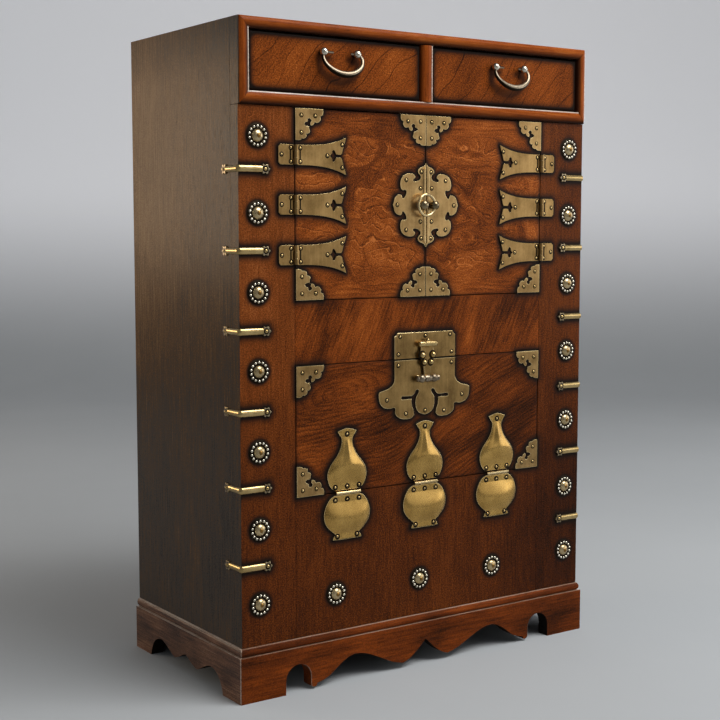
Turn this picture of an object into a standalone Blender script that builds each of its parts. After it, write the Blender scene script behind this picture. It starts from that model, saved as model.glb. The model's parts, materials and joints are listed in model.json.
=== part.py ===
"""Bandaji chest: two drawers over two doors over a drop front, on a scalloped plinth.

Metres, +Z up. The front looks along -Y. The origin is on the floor, under the middle of the
bounding box. Inside this script y = 0 is the face of the case front, and the datum empty moves
that face to its place.
"""

from math import cos, pi, radians, sin, sqrt

import bmesh
import bpy
from mathutils import Matrix, Vector

# Clearances
SEAT = 0.0003  # between pieces that rest on each other
RUN = 0.0010  # round the doors, drawers and drop front
PIN_CLEAR = 0.0003  # between a pin and its knuckle
KNUCKLE_GAP = 0.0004  # between neighbouring knuckles

# Case
CASE_W = 0.6100
CASE_D = 0.3135
BOARD_T = 0.0160  # sides, top, bottom and shelves
FRONT_T = 0.0200  # stiles, rails, doors and drop front
BACK_T = 0.0080
STILE_W = 0.0855
STOP_LIP = 0.0080  # how far the rail's stop reaches behind the drop front
STOP_T = 0.0120

# Heights of the front, from the floor up
APRON_H = 0.0630
BEAD_H = 0.0118
LOWER_H = 0.1952
DROP_H = 0.1805
RAIL_H = 0.0880
DOOR_H = 0.2570
FRAME_H = 0.1125

# Plinth
PLINTH_T = 0.0200
APRON_PROUD = 0.0060
BEAD_PROUD = 0.0042
FOOT_W = 0.0710  # front feet, from the corner
SIDE_FOOT_W = 0.0500
ROUND_ARCH_R = 0.0205
ROUND_ARCH_SPRING = 0.0195
TOE_R = 0.0050  # lobe between the round arch and the wide one
TOE_Z = 0.0080
CUSP_HALF_W = 0.0410  # from the middle to the lobe beside the centre cusp
# The front scallop's wide arch: share of the way from the toe lobe to the cusp's lobe, height
WIDE_ARCH = ((0.074, 0.0105), (0.155, 0.016), (0.284, 0.030), (0.419, 0.038), (0.568, 0.0345), (0.716, 0.025),
             (0.872, 0.014), (1.0, 0.009))
# Its centre cusp: share of the way from that lobe to the middle, height
FRONT_CUSP = ((0.0, 0.009), (0.27, 0.013), (0.63, 0.0235), (0.88, 0.033), (1.0, 0.0375))
# The side scallop, from the foot's edge inwards: share of the way to the middle, height
SIDE_ARCH = ((0.0, 0.0), (0.035, 0.012), (0.135, 0.026), (0.32, 0.032), (0.50, 0.025), (0.64, 0.0175),
             (0.70, 0.016))
SIDE_CUSP = ((0.70, 0.016), (0.82, 0.020), (0.93, 0.026), (1.0, 0.029))

# Drawer frame
FRAME_STILE_W = 0.0140
FRAME_TOP_H = 0.0160
FRAME_BOTTOM_H = 0.0175
FRAME_PROUD = 0.0060
FRAME_EDGE_PROUD = 0.0012
MULLION_W = 0.0174

# Drawers
DRAWER_FRONT_T = 0.0180
DRAWER_WALL = 0.0080
DRAWER_BASE = 0.0060
DRAWER_HEADROOM = 0.0190  # from the box's rim to the ceiling
DRAWER_EASE = 0.0020

# Bail handles
BAIL_SET = 0.0223  # from the opening's top down to the pivots
BAIL_SPAN = 0.0540
BAIL_TURN_R = 0.0030  # bend from the pivot into the side
BAIL_TUCK = 0.0012  # how far the sides draw in below their widest
BAIL_DROP = 0.0330
BAIL_BOW = 0.0050  # how far the grip stands in front of the pivots
BAIL_WIRE_R = 0.0017
# The bail's lower side: share of the half span, of the bow and of the drop
BAIL_SIDE = ((0.955, 0.55, 0.74), (0.5, 0.9, 0.96), (0.0, 1.0, 1.0))
BAIL_SHOULDER = (0.2, 0.42)  # where the sides draw in: share of the bow and of the drop
POST_BALL_R = 0.0046
POST_REACH = 0.0070
POST_STEM_R = 0.0026

# Hinges
LEAF_T = 0.0015
KNUCKLE_R = 0.0032
KNUCKLE_ROOT = 0.0013  # how near the pin's axis a leaf runs into its knuckles
HINGE_PIN_R = 0.0015
DOOR_LEAF_H = 0.0265
DOOR_LEAF_L = 0.0815  # from the pin to the fishtail's tips
TAIL_H = 0.0500
FRAME_LEAF_L = 0.0260
LEAF_CLIP = 0.0030
DOOR_HINGES = (0.1945, 0.1285, 0.0615)  # heights above the door's lower edge
# Notch between the tails: distance back from the tips, half-width
TAIL_NOTCH = ((0.0015, 0.0195), (0.0050, 0.0100), (0.0068, 0.0035), (0.0085, 0.0020), (0.0160, 0.0022),
              (0.0185, 0.0070), (0.0205, 0.0082), (0.0225, 0.0066), (0.0230, 0.0030), (0.0265, 0.0))
GOURD_KNUCKLES_W = 0.0414
GOURD_SPREAD = 0.62  # outer gourd hinges: share of the way from the middle to the stiles
GOURD_GAP = 0.0037  # from the lock plate's centre lobe down to the middle gourd's head
GOURD_LOWER_L = 0.0680
# Gourd leaves: share of the length from the pin, half-width
GOURD_UPPER = ((0.11, 0.0280), (0.27, 0.0327), (0.42, 0.0290), (0.58, 0.0190), (0.69, 0.0125), (0.77, 0.0108),
               (0.845, 0.0118), (0.93, 0.0164))
GOURD_HEAD = ((0.96, 0.0120), (0.972, 0.0080), (0.994, 0.0040), (1.0, 0.0))
GOURD_LOWER = ((0.13, 0.0290), (0.45, 0.0388), (0.735, 0.0335), (0.934, 0.0235), (1.0, 0.0242))

# Door lock
ROSETTE_RISE = 0.1300  # above the door's lower edge
ROSETTE_R = 0.0588
# A quarter of the plate from its top round to its side, as shares of the radius: half of the pointed
# top lobe, a notch, the square lobe, a notch, half of the pointed side lobe
ROSETTE_TOP = ((0.0, 1.0), (0.085, 0.95), (0.185, 0.88), (0.225, 0.80), (0.19, 0.73))
ROSETTE_NOTCH_1 = ((0.205, 0.65), (0.245, 0.59), (0.315, 0.61), (0.335, 0.68))
ROSETTE_SQUARE = ((0.42, 0.725), (0.56, 0.75), (0.705, 0.74), (0.79, 0.69), (0.80, 0.58), (0.785, 0.475),
                  (0.725, 0.405))
ROSETTE_NOTCH_2 = ((0.665, 0.37), (0.60, 0.335), (0.575, 0.28), (0.62, 0.235), (0.69, 0.24))
ROSETTE_SIDE = ((0.76, 0.235), (0.86, 0.185), (0.93, 0.105), (0.965, 0.05), (1.0, 0.0))
KNOB_X = 0.0104  # from the seam
KNOB_REACH = 0.0090
KNOB_R = 0.0042
KNOB_STEM_R = 0.0021
EYE_R = 0.0048
RING_R = 0.0155
RING_WIRE_R = 0.0015
RING_SAG = 0.0003  # how far the ring's bend leaves the straight eye
RING_CLEAR = 0.0004
RING_TILT = radians(4)

# Drop-front lock
LOCK_W = 0.1100
LOCK_UPPER_H = 0.0375
LOCK_CLIP = 0.0050
LOCK_SHOULDER = 0.0385  # from the seam down to the shoulders
SIDE_LOBE = (0.0115, 0.0565, 0.0165)  # past the plate's side, below the seam, radius
FOOT_LOBE = (0.0362, 0.0755, 0.0162)  # from the middle, below the seam, radius
PEACH_LOBE = (0.0, 0.0670, 0.0198)
SIDE_LOBE_ARC = (112, -96)  # where each lobe's arc starts and ends, in degrees
FOOT_LOBE_ARC = (25, -165)
PEACH_LOBE_ARC = (-48, -90)
CRESCENT_ARC = (-52, 22)  # the curved slot beside the centre lobe
SLOT_W = 0.0042
SLOT_INNER = (0.0110, 0.0520)  # ends of each slot's arms: from the middle, below the seam
SLOT_OUTER = (0.0430, 0.0585)
SLOT_FORK = (0.0222, 0.0605)
HASP_PIN_Z = 0.0290  # from the seam down to the cross pin
HASP_SET = 0.0018  # how far the cross pin stands in front of the strap
HASP_PIN_R = 0.0016
HASP_BALL_R = 0.0036
HASP_PIN_L = 0.0340
STAPLE_X = 0.0085
STAPLE_R = 0.0022
HASP_KNUCKLE_R = 0.0034
HASP_KNUCKLE_L = 0.0100
LIFT_BAR_Z = 0.0210  # from the seam up to the lift bar
LIFT_BAR_R = 0.0030
LIFT_BAR_L = 0.0360
LIFT_BALL_R = 0.0036
# The hasp's strap: share of the way from the cross pin to the lift bar, half-width
HASP_STRAP = ((0.02, 0.0034), (0.36, 0.0034), (0.43, 0.0075), (0.52, 0.0078), (0.60, 0.0110), (0.77, 0.0115),
              (0.84, 0.0085), (1.0, 0.0080))

# Worked out from the sizes above
HALF_W = CASE_W / 2
OPEN_HALF = HALF_W - STILE_W
GOURD_X = GOURD_SPREAD * OPEN_HALF
Z_CASE = APRON_H + BEAD_H
Z_DROP = Z_CASE + LOWER_H
Z_RAIL = Z_DROP + DROP_H
Z_DOOR = Z_RAIL + RAIL_H
Z_FRAME = Z_DOOR + DOOR_H
Z_TOP = Z_FRAME + FRAME_H
SIDE_IN = HALF_W - BOARD_T
FRONT_IN = FRONT_T + SEAT
BACK_IN = CASE_D - BACK_T
DRAWER_FLOOR = Z_FRAME + FRAME_BOTTOM_H
DRAWER_CEILING = Z_TOP - max(FRAME_TOP_H, BOARD_T)
DRAWER_SPAN = (MULLION_W / 2 + RUN, HALF_W - FRAME_STILE_W - RUN)
DRAWER_MID = (DRAWER_SPAN[0] + DRAWER_SPAN[1]) / 2
DRAWER_BOX_H = DRAWER_CEILING - DRAWER_FLOOR - DRAWER_HEADROOM
BAIL_Z = DRAWER_CEILING - BAIL_SET
ROSETTE_Z = Z_DOOR + ROSETTE_RISE
GOURD_UPPER_L = DROP_H - PEACH_LOBE[1] - PEACH_LOBE[2] - GOURD_GAP
BRASS_FACE = SEAT + LEAF_T  # how far the flat brass stands in front of the wood
PIN_Y = -(SEAT + KNUCKLE_R)
DOOR_PIN_X = OPEN_HALF - RUN / 2
LEAF_START = KNUCKLE_R + KNUCKLE_GAP
LIFT_BAR_Y = -(BRASS_FACE + SEAT + max(LIFT_BAR_R, LIFT_BALL_R))
HASP_PIN_Y = LIFT_BAR_Y - HASP_SET
BAIL_REACH = POST_REACH + BAIL_BOW + BAIL_WIRE_R
FRONT_REACH = max(BAIL_REACH, KNOB_REACH + EYE_R)
DATUM_Y = -(CASE_D - FRONT_REACH) / 2

LOOKS = {
    "front_wood": ((0.230, 0.060, 0.018), 0.36, 0.0),
    "frame_wood": ((0.260, 0.085, 0.028), 0.33, 0.0),
    "side_wood": ((0.040, 0.024, 0.017), 0.40, 0.0),
    "inner_wood": ((0.300, 0.190, 0.100), 0.60, 0.0),
    "brass": ((0.480, 0.350, 0.140), 0.38, 1.0),
}


def clear_scene():
    """Empty the file and make the two collections."""
    for obj in list(bpy.data.objects):
        bpy.data.objects.remove(obj)
    groups = {}
    for name in ("bandaji_chest", "cutters"):
        groups[name] = bpy.data.collections.new(name)
        bpy.context.scene.collection.children.link(groups[name])
    return groups


def make_looks():
    """One Principled material for each kind of surface."""
    looks = {}
    for name, (colour, roughness, metallic) in LOOKS.items():
        look = bpy.data.materials.new(name)
        look.use_nodes = True
        shader = look.node_tree.nodes["Principled BSDF"]
        shader.inputs["Base Color"].default_value = (*colour, 1.0)
        shader.inputs["Roughness"].default_value = roughness
        shader.inputs["Metallic"].default_value = metallic
        looks[name] = look
    return looks


GROUPS = clear_scene()
LOOK = make_looks()
PLACES = {}


def add_body(name, at, parent=None):
    """An empty on a joint's axis, which carries the pieces that move with it."""
    empty = bpy.data.objects.new(name, None)
    GROUPS["bandaji_chest"].objects.link(empty)
    PLACES[name] = Vector(at)
    if parent:
        empty.parent = bpy.data.objects[parent]
        empty.location = PLACES[name] - PLACES[parent]
    else:
        empty.location = (0.0, DATUM_Y, 0.0)
    return empty


def add_piece(name, mesh, look, body, smooth=False):
    """A named piece from a mesh in case coordinates, carried by a body."""
    mesh.name = name
    mesh.transform(Matrix.Translation(-PLACES[body]))
    mesh.materials.clear()
    mesh.materials.append(LOOK[look])
    obj = bpy.data.objects.new(name, mesh)
    GROUPS["bandaji_chest"].objects.link(obj)
    obj.parent = bpy.data.objects[body]
    if smooth:
        mesh.shade_smooth()
        mesh.set_sharp_from_angle(angle=radians(35))
    return obj


def boolean(target, mesh, operation):
    """Join a shape to a piece, or cut it away. The shape is kept among the cutters."""
    tool = bpy.data.objects.new(f"{target.name}_{operation.lower()}_{len(target.modifiers)}", mesh)
    GROUPS["cutters"].objects.link(tool)
    mesh.transform(Matrix.Translation(-PLACES[target.parent.name]))
    tool.parent = target.parent
    tool.hide_render = True
    tool.display_type = "WIRE"
    step = target.modifiers.new(operation.title(), "BOOLEAN")
    step.operation = operation
    step.object = tool


def mesh_from(bm):
    """Close a bmesh into a mesh with its faces pointing out."""
    bmesh.ops.recalc_face_normals(bm, faces=bm.faces)
    mesh = bpy.data.meshes.new("shape")
    bm.to_mesh(mesh)
    bm.free()
    return mesh


def faced_out(mesh):
    """The mesh again, with its faces pointing out."""
    bm = bmesh.new()
    bm.from_mesh(mesh)
    return mesh_from(bm)


def box_mesh(low, high):
    """A block between two corners."""
    low = Vector(low)
    high = Vector(high)
    bm = bmesh.new()
    scale = Matrix.Diagonal((*(high - low), 1.0))
    bmesh.ops.create_cube(bm, size=1.0, matrix=Matrix.Translation((low + high) / 2) @ scale)
    return mesh_from(bm)


def rod_mesh(start, end, radius, segments=16):
    """A round rod between two points."""
    start = Vector(start)
    end = Vector(end)
    along = end - start
    bm = bmesh.new()
    turn = along.to_track_quat("Z", "Y").to_matrix().to_4x4()
    bmesh.ops.create_cone(bm, cap_ends=True, segments=segments, radius1=radius, radius2=radius,
                          depth=along.length, matrix=Matrix.Translation((start + end) / 2) @ turn)
    return mesh_from(bm)


def ball_mesh(centre, radius, turn=None):
    """A ball, with its poles along Z unless it is turned."""
    bm = bmesh.new()
    place = Matrix.Translation(centre) @ (turn or Matrix())
    bmesh.ops.create_uvsphere(bm, u_segments=14, v_segments=9, radius=radius, matrix=place)
    return mesh_from(bm)


def curve_mesh(curve):
    """The closed mesh of a curve, with its caps welded on."""
    obj = bpy.data.objects.new("outline", curve)
    bpy.context.scene.collection.objects.link(obj)
    graph = bpy.context.evaluated_depsgraph_get()
    mesh = bpy.data.meshes.new_from_object(obj.evaluated_get(graph), depsgraph=graph)
    bpy.data.objects.remove(obj)
    bm = bmesh.new()
    bm.from_mesh(mesh)
    bmesh.ops.remove_doubles(bm, verts=bm.verts, dist=1e-6)
    return mesh_from(bm)


def add_spline(curve, points, closed):
    """A POLY spline through three-dimensional points."""
    spline = curve.splines.new("POLY")
    spline.points.add(len(points) - 1)
    for target, point in zip(spline.points, points):
        target.co = (*point, 1.0)
    spline.use_cyclic_u = closed


def outline_mesh(outline, thickness):
    """An outline in the XY plane as a plate of one thickness, half above the plane and half below."""
    curve = bpy.data.curves.new("outline", "CURVE")
    curve.dimensions = "2D"
    curve.fill_mode = "BOTH"
    curve.extrude = thickness / 2
    add_spline(curve, [(x, y, 0.0) for x, y in outline], True)
    return curve_mesh(curve)


def flat_mesh(outline, low, high):
    """An (x, z) outline as a plate between two depths along Y."""
    mesh = outline_mesh(outline, high - low)
    mesh.transform(Matrix.Translation((0.0, (low + high) / 2, 0.0)) @ Matrix.Rotation(pi / 2, 4, "X"))
    return mesh


def wire_mesh(points, radius):
    """A wire of one thickness along a run of points."""
    curve = bpy.data.curves.new("wire", "CURVE")
    curve.dimensions = "3D"
    curve.bevel_depth = radius
    curve.bevel_resolution = 2
    curve.use_fill_caps = True
    add_spline(curve, points, False)
    return curve_mesh(curve)


def blend(before, start, end, after, t):
    """A Catmull-Rom value between start and end."""
    square = 2 * before - 5 * start + 4 * end - after
    cube = 3 * start - before - 3 * end + after
    return (2 * start + (end - before) * t + square * t**2 + cube * t**3) / 2


def smooth_run(points, steps):
    """Points on the smooth curve that passes through the given ones."""
    ends = [points[0], *points, points[-1]]
    run = []
    for stretch in zip(ends, ends[1:], ends[2:], ends[3:]):
        for step in range(steps):
            run.append(tuple(blend(*values, step / steps) for values in zip(*stretch)))
    run.append(tuple(points[-1]))
    return run


def arc(centre, radius, start, end, steps):
    """Points on an arc, angles in degrees."""
    angles = [radians(start + (end - start) * step / steps) for step in range(steps + 1)]
    return [(centre[0] + radius * cos(a), centre[1] + radius * sin(a)) for a in angles]


def mirrored(half):
    """A closed outline from its right half, which starts and ends on the middle line or beside it."""
    left = [(-x, z) for x, z in reversed(half)]
    if half[-1][0] == 0.0:
        left = left[1:]
    if half[0][0] == 0.0:
        left = left[:-1]
    return list(half) + left


def board(name, low, high, look, body="chest"):
    """A plain board between two corners."""
    return add_piece(name, box_mesh(low, high), look, body)


def build_case():
    """Sides, top, bottom, back and shelves: butt-jointed boards."""
    for name, side in (("left", -1), ("right", 1)):
        edges = sorted((side * HALF_W, side * SIDE_IN))
        board(f"{name}_side", (edges[0], FRONT_IN, Z_CASE + SEAT), (edges[1], CASE_D, Z_TOP), "side_wood")
    inner = SIDE_IN - SEAT
    deep = BACK_IN - SEAT
    levels = {
        "top_panel": (Z_TOP, "side_wood"),
        "bottom_panel": (Z_CASE + SEAT + BOARD_T, "inner_wood"),
        "middle_shelf": (Z_DOOR, "inner_wood"),
        "drawer_shelf": (DRAWER_FLOOR, "inner_wood"),
    }
    for name, (top, look) in levels.items():
        board(name, (-inner, FRONT_IN, top - BOARD_T), (inner, deep, top), look)
    board("back_panel", (-inner, BACK_IN, Z_CASE + SEAT), (inner, CASE_D, Z_TOP), "inner_wood")


def build_front():
    """Stiles, middle rail with its stop for the drop front, and the lower panel."""
    for name, side in (("left", -1), ("right", 1)):
        edges = sorted((side * HALF_W, side * (OPEN_HALF + SEAT / 2)))
        low = (edges[0], 0.0, Z_CASE + SEAT)
        high = (edges[1], FRONT_T, Z_FRAME - SEAT)
        board(f"{name}_stile", low, high, "front_wood")
    inner = OPEN_HALF - SEAT / 2
    board("lower_front_panel", (-inner, 0.0, Z_CASE + SEAT), (inner, FRONT_T, Z_DROP - RUN / 2), "front_wood")
    low = Z_RAIL + RUN / 2
    high = Z_DOOR - RUN / 2
    stop_low = Z_RAIL - STOP_LIP
    stop_high = Z_DOOR - BOARD_T - SEAT
    section = [(0.0, low), (FRONT_IN, low), (FRONT_IN, stop_low), (FRONT_IN + STOP_T, stop_low),
               (FRONT_IN + STOP_T, stop_high), (FRONT_T, stop_high), (FRONT_T, high), (0.0, high)]
    mesh = outline_mesh(section, 2 * inner)
    mesh.transform(Matrix(((0, 0, 1, 0), (1, 0, 0, 0), (0, 1, 0, 0), (0, 0, 0, 1))))
    add_piece("middle_rail", mesh, "front_wood", "chest")


def plinth_profile():
    """Cross-section of a plinth board: outward distance from the case face, height."""
    back = APRON_PROUD - PLINTH_T
    bead_r = BEAD_H / 2
    bead = [(BEAD_PROUD * cos(a), APRON_H + bead_r + bead_r * sin(a))
            for a in (-pi / 2 + pi * step / 6 for step in range(7))]
    return [(back, 0.0), (APRON_PROUD, 0.0), (APRON_PROUD, APRON_H), *bead, (back, Z_CASE)]


def moulded_mesh(profile, half, mitre_low, mitre_high):
    """A profile along X, with each end set back by its own function of the outward distance."""
    mesh = flat_mesh(profile, -half, half)
    for vertex in mesh.vertices:
        out, along, height = vertex.co
        end = half - mitre_high(out) if along > 0 else -half + mitre_low(out)
        vertex.co = (end, -out, height)
    return faced_out(mesh)


def front_scallop():
    """Right half of the front apron's lower edge, from the foot to the middle."""
    foot = HALF_W + APRON_PROUD - FOOT_W
    arch = foot - ROUND_ARCH_R
    toe = arch - ROUND_ARCH_R - TOE_R
    edge = [(foot, -APRON_H)]
    edge += arc((arch, ROUND_ARCH_SPRING), ROUND_ARCH_R, 0, 180, 10)
    edge += arc((toe, TOE_Z), TOE_R, 0, -180, 5)
    wide = toe - TOE_R - CUSP_HALF_W
    edge += [(CUSP_HALF_W + wide * (1 - share), height) for share, height in smooth_run(WIDE_ARCH, 2)[:-1]]
    edge += [(CUSP_HALF_W * (1 - share), height) for share, height in smooth_run(FRONT_CUSP, 2)]
    return edge


def side_scallop(half):
    """Half of a side apron's lower edge, from the foot to the middle."""
    inner = half - SIDE_FOOT_W
    edge = [(inner, -APRON_H)]
    for stretch in (SIDE_ARCH, SIDE_CUSP):
        edge += [(inner * (1 - share), height) for share, height in smooth_run(stretch, 2)[:-1]]
    edge.append((0.0, SIDE_CUSP[-1][1]))
    return edge


def build_plinth():
    """Apron boards with a rounded bead on top, mitred at the front corners."""
    profile = plinth_profile()

    def mitre(out):
        return SEAT - out

    def square(out):
        return 0.0

    mesh = moulded_mesh(profile, HALF_W, mitre, mitre)
    front = add_piece("plinth_front", mesh, "frame_wood", "chest")
    boolean(front, flat_mesh(mirrored(front_scallop()), -PLINTH_T, PLINTH_T), "DIFFERENCE")
    depth = CASE_D + APRON_PROUD
    middle = CASE_D / 2 - APRON_PROUD / 2
    for name, side in (("left", -1), ("right", 1)):
        ends = (square, mitre) if side < 0 else (mitre, square)
        mesh = moulded_mesh(profile, CASE_D / 2, *ends)
        turn = Matrix.Rotation(side * pi / 2, 4, "Z")
        mesh.transform(Matrix.Translation((side * HALF_W, CASE_D / 2, 0.0)) @ turn)
        piece = add_piece(f"plinth_{name}", mesh, "frame_wood", "chest")
        cut = flat_mesh(mirrored(side_scallop(depth / 2)), -PLINTH_T, PLINTH_T)
        cut.transform(Matrix.Translation((side * HALF_W, middle, 0.0)) @ turn)
        boolean(piece, cut, "DIFFERENCE")
    inner = HALF_W + APRON_PROUD - PLINTH_T - SEAT
    board("plinth_back", (-inner, CASE_D - PLINTH_T, 0.0), (inner, CASE_D, Z_CASE), "inner_wood")


def frame_profile(width):
    """Cross-section of a frame moulding: distance from the outer edge, depth in front of the case."""
    crown = [(width / 2 - width / 2 * cos(a), FRAME_EDGE_PROUD + (FRAME_PROUD - FRAME_EDGE_PROUD) * sin(a))
             for a in (pi * step / 8 for step in range(9))]
    return [(0.0, -FRONT_T), *crown, (width, -FRONT_T)]


def frame_member(name, width, half, low_slope, high_slope, place):
    """A half-round frame moulding, mitred to its neighbours and placed on the case."""
    mesh = flat_mesh(frame_profile(width), -half, half)
    for vertex in mesh.vertices:
        across, along, proud = vertex.co
        end = half - SEAT - across * high_slope if along > 0 else -half + SEAT + across * low_slope
        vertex.co = (end, -proud, -across)
    mesh = faced_out(mesh)
    mesh.transform(place)
    add_piece(name, mesh, "frame_wood", "chest", smooth=True)


def build_frame():
    """Drawer frame of four mitred mouldings, and the divider whose front edge is the mullion."""
    top = FRAME_STILE_W / FRAME_TOP_H
    bottom = FRAME_STILE_W / FRAME_BOTTOM_H
    middle = Z_FRAME + FRAME_H / 2
    frame_member("drawer_frame_top_rail", FRAME_TOP_H, HALF_W, top, top, Matrix.Translation((0, 0, Z_TOP)))
    frame_member("drawer_frame_bottom_rail", FRAME_BOTTOM_H, HALF_W, bottom, bottom,
                 Matrix.Translation((0, 0, Z_FRAME)) @ Matrix.Rotation(pi, 4, "Y"))
    left = Matrix.Translation((-HALF_W, 0, middle)) @ Matrix.Rotation(-pi / 2, 4, "Y")
    right = Matrix.Translation((HALF_W, 0, middle)) @ Matrix.Rotation(pi / 2, 4, "Y")
    frame_member("drawer_frame_left_stile", FRAME_STILE_W, FRAME_H / 2, 1 / bottom, 1 / top, left)
    frame_member("drawer_frame_right_stile", FRAME_STILE_W, FRAME_H / 2, 1 / top, 1 / bottom, right)
    nose = [(x - MULLION_W / 2, -proud) for x, proud in frame_profile(MULLION_W)[1:-1]]
    outline = [*nose, (MULLION_W / 2, BACK_IN - SEAT), (-MULLION_W / 2, BACK_IN - SEAT)]
    low = DRAWER_FLOOR + SEAT
    high = DRAWER_CEILING - SEAT
    mesh = outline_mesh(outline, high - low)
    mesh.transform(Matrix.Translation((0.0, 0.0, (low + high) / 2)))
    add_piece("drawer_divider", mesh, "frame_wood", "chest", smooth=True)


def bail_points():
    """The bail's wire about the middle of its pivot line: ends turned in, sides swelling, grip below."""
    post = BAIL_SPAN / 2
    straight = POST_BALL_R + PIN_CLEAR
    wide = post + straight + BAIL_TURN_R
    turn = arc((post + straight, -BAIL_TURN_R), BAIL_TURN_R, 90, 0, 4)
    side = (
        (wide, 0.0, -BAIL_TURN_R),
        (wide - BAIL_TUCK, -BAIL_BOW * BAIL_SHOULDER[0], -BAIL_DROP * BAIL_SHOULDER[1]),
        *((post * span, -BAIL_BOW * bow, -BAIL_DROP * drop) for span, bow, drop in BAIL_SIDE),
    )
    half = [(post - straight, 0.0, 0.0)]
    half += [(x, 0.0, z) for x, z in turn[:-1]]
    half += smooth_run(side, 3)
    return half + [(-x, y, z) for x, y, z in reversed(half[:-1])]


def build_drawer(side, name):
    """A drawer: front, open box, two ball posts and the bail that swings in them."""
    body = f"{name}_drawer"
    bail_body = f"{name}_bail"
    pivot = (side * DRAWER_MID, -POST_REACH, BAIL_Z)
    add_body(body, (side * DRAWER_MID, 0.0, DRAWER_FLOOR), "chest")
    add_body(bail_body, pivot, body)
    near, far = DRAWER_SPAN
    edges = sorted((side * near, side * far))
    front = board(f"{name}_drawer_front", (edges[0], 0.0, DRAWER_FLOOR + RUN),
                  (edges[1], DRAWER_FRONT_T, DRAWER_CEILING - RUN), "front_wood", body)
    ease = front.modifiers.new("Eased edges", "BEVEL")
    ease.width = DRAWER_EASE
    ease.segments = 2
    edges = sorted((side * near, side * min(far, SIDE_IN - RUN)))
    low = Vector((edges[0], DRAWER_FRONT_T + SEAT, DRAWER_FLOOR + SEAT))
    high = Vector((edges[1], BACK_IN - RUN, DRAWER_FLOOR + SEAT + DRAWER_BOX_H))
    box = board(f"{name}_drawer_box", low, high, "inner_wood", body)
    wall = Vector((DRAWER_WALL, DRAWER_WALL, 0.0))
    hollow = box_mesh(low + wall + Vector((0, 0, DRAWER_BASE)), high - wall + Vector((0, 0, DRAWER_BOX_H)))
    boolean(box, hollow, "DIFFERENCE")
    for end, hand in (("left", -1), ("right", 1)):
        centre = Vector(pivot) + Vector((hand * BAIL_SPAN / 2, 0.0, 0.0))
        root = (centre.x, -SEAT, centre.z)
        ball = ball_mesh(centre, POST_BALL_R, Matrix.Rotation(pi / 2, 4, "Y"))
        post = add_piece(f"{name}_drawer_{end}_post", ball, "brass", body, smooth=True)
        boolean(post, rod_mesh(root, centre, POST_STEM_R, 12), "UNION")
        reach = Vector((2 * POST_BALL_R, 0.0, 0.0))
        boolean(post, rod_mesh(centre - reach, centre + reach, BAIL_WIRE_R + PIN_CLEAR, 12), "DIFFERENCE")
    bail = wire_mesh([Vector(pivot) + Vector(point) for point in bail_points()], BAIL_WIRE_R)
    add_piece(f"{name}_drawer_bail", bail, "brass", bail_body, smooth=True)


def knuckle_spans(length):
    """The fixed leaf's two outer knuckles and the moving leaf's middle one, along the pin."""
    third = length / 6
    end = length / 2 - KNUCKLE_GAP
    outer = ((-end, -third - KNUCKLE_GAP / 2), (third + KNUCKLE_GAP / 2, end))
    middle = ((-third + KNUCKLE_GAP / 2, third - KNUCKLE_GAP / 2),)
    return outer, middle


def add_leaf(name, outline, length, fixed, place, body):
    """A hinge leaf along +X from its pin on Z: a plate with knuckles, and with the pin if it is fixed.

    The outline gives the plate's upper half, from the knuckles to the middle of its far end.
    """
    outer, middle = knuckle_spans(length)
    spans = outer if fixed else middle
    tongues = []
    for low, high in spans:
        tongues += [(LEAF_START, low + KNUCKLE_GAP), (KNUCKLE_ROOT, low + KNUCKLE_GAP)]
        tongues += [(KNUCKLE_ROOT, high - KNUCKLE_GAP), (LEAF_START, high - KNUCKLE_GAP)]
    far = [(u, v) for u, v in outline if v > 0.0]
    tip = [(u, v) for u, v in outline if v == 0.0]
    points = tongues + far + tip + [(u, -v) for u, v in reversed(far)]
    mesh = flat_mesh(points, -BRASS_FACE, -SEAT)
    shapes = [(rod_mesh((0, PIN_Y, low), (0, PIN_Y, high), KNUCKLE_R), "UNION") for low, high in spans]
    if fixed:
        pin = rod_mesh((0, PIN_Y, -length / 2 + RUN), (0, PIN_Y, length / 2 - RUN), HINGE_PIN_R, 12)
        shapes.append((pin, "UNION"))
    else:
        bore = rod_mesh((0, PIN_Y, -length), (0, PIN_Y, length), HINGE_PIN_R + PIN_CLEAR, 12)
        shapes.append((bore, "DIFFERENCE"))
    mesh.transform(place)
    piece = add_piece(name, mesh, "brass", body)
    for shape, operation in shapes:
        shape.transform(place)
        boolean(piece, shape, operation)


def door_leaf_outline():
    """Upper half of the fishtail leaf: straight from the pin, flaring to its tips, with a cloud notch."""
    low = DOOR_LEAF_H / 2
    flare = TAIL_H / 2 - low
    steps = 7
    edge = []
    for step in range(steps + 1):
        along = LEAF_START + (DOOR_LEAF_L - LEAF_START) * step / steps
        edge.append((along, low + flare * (step / steps) ** 3))
    return edge + [(DOOR_LEAF_L - back, half) for back, half in TAIL_NOTCH]


def frame_leaf_outline():
    """Upper half of the plain leaf on the stile, with its far corner clipped."""
    half = DOOR_LEAF_H / 2
    return [(LEAF_START, half), (FRAME_LEAF_L - LEAF_CLIP, half), (FRAME_LEAF_L, half - LEAF_CLIP)]


def gourd_outline(length, sides, head):
    """Half of a gourd leaf, from the knuckles to the middle of its far end."""
    start = (LEAF_START, GOURD_KNUCKLES_W / 2)
    run = smooth_run((start, *((share * length, half) for share, half in sides)), 3)
    return run + [(share * length, half) for share, half in head]


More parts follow.
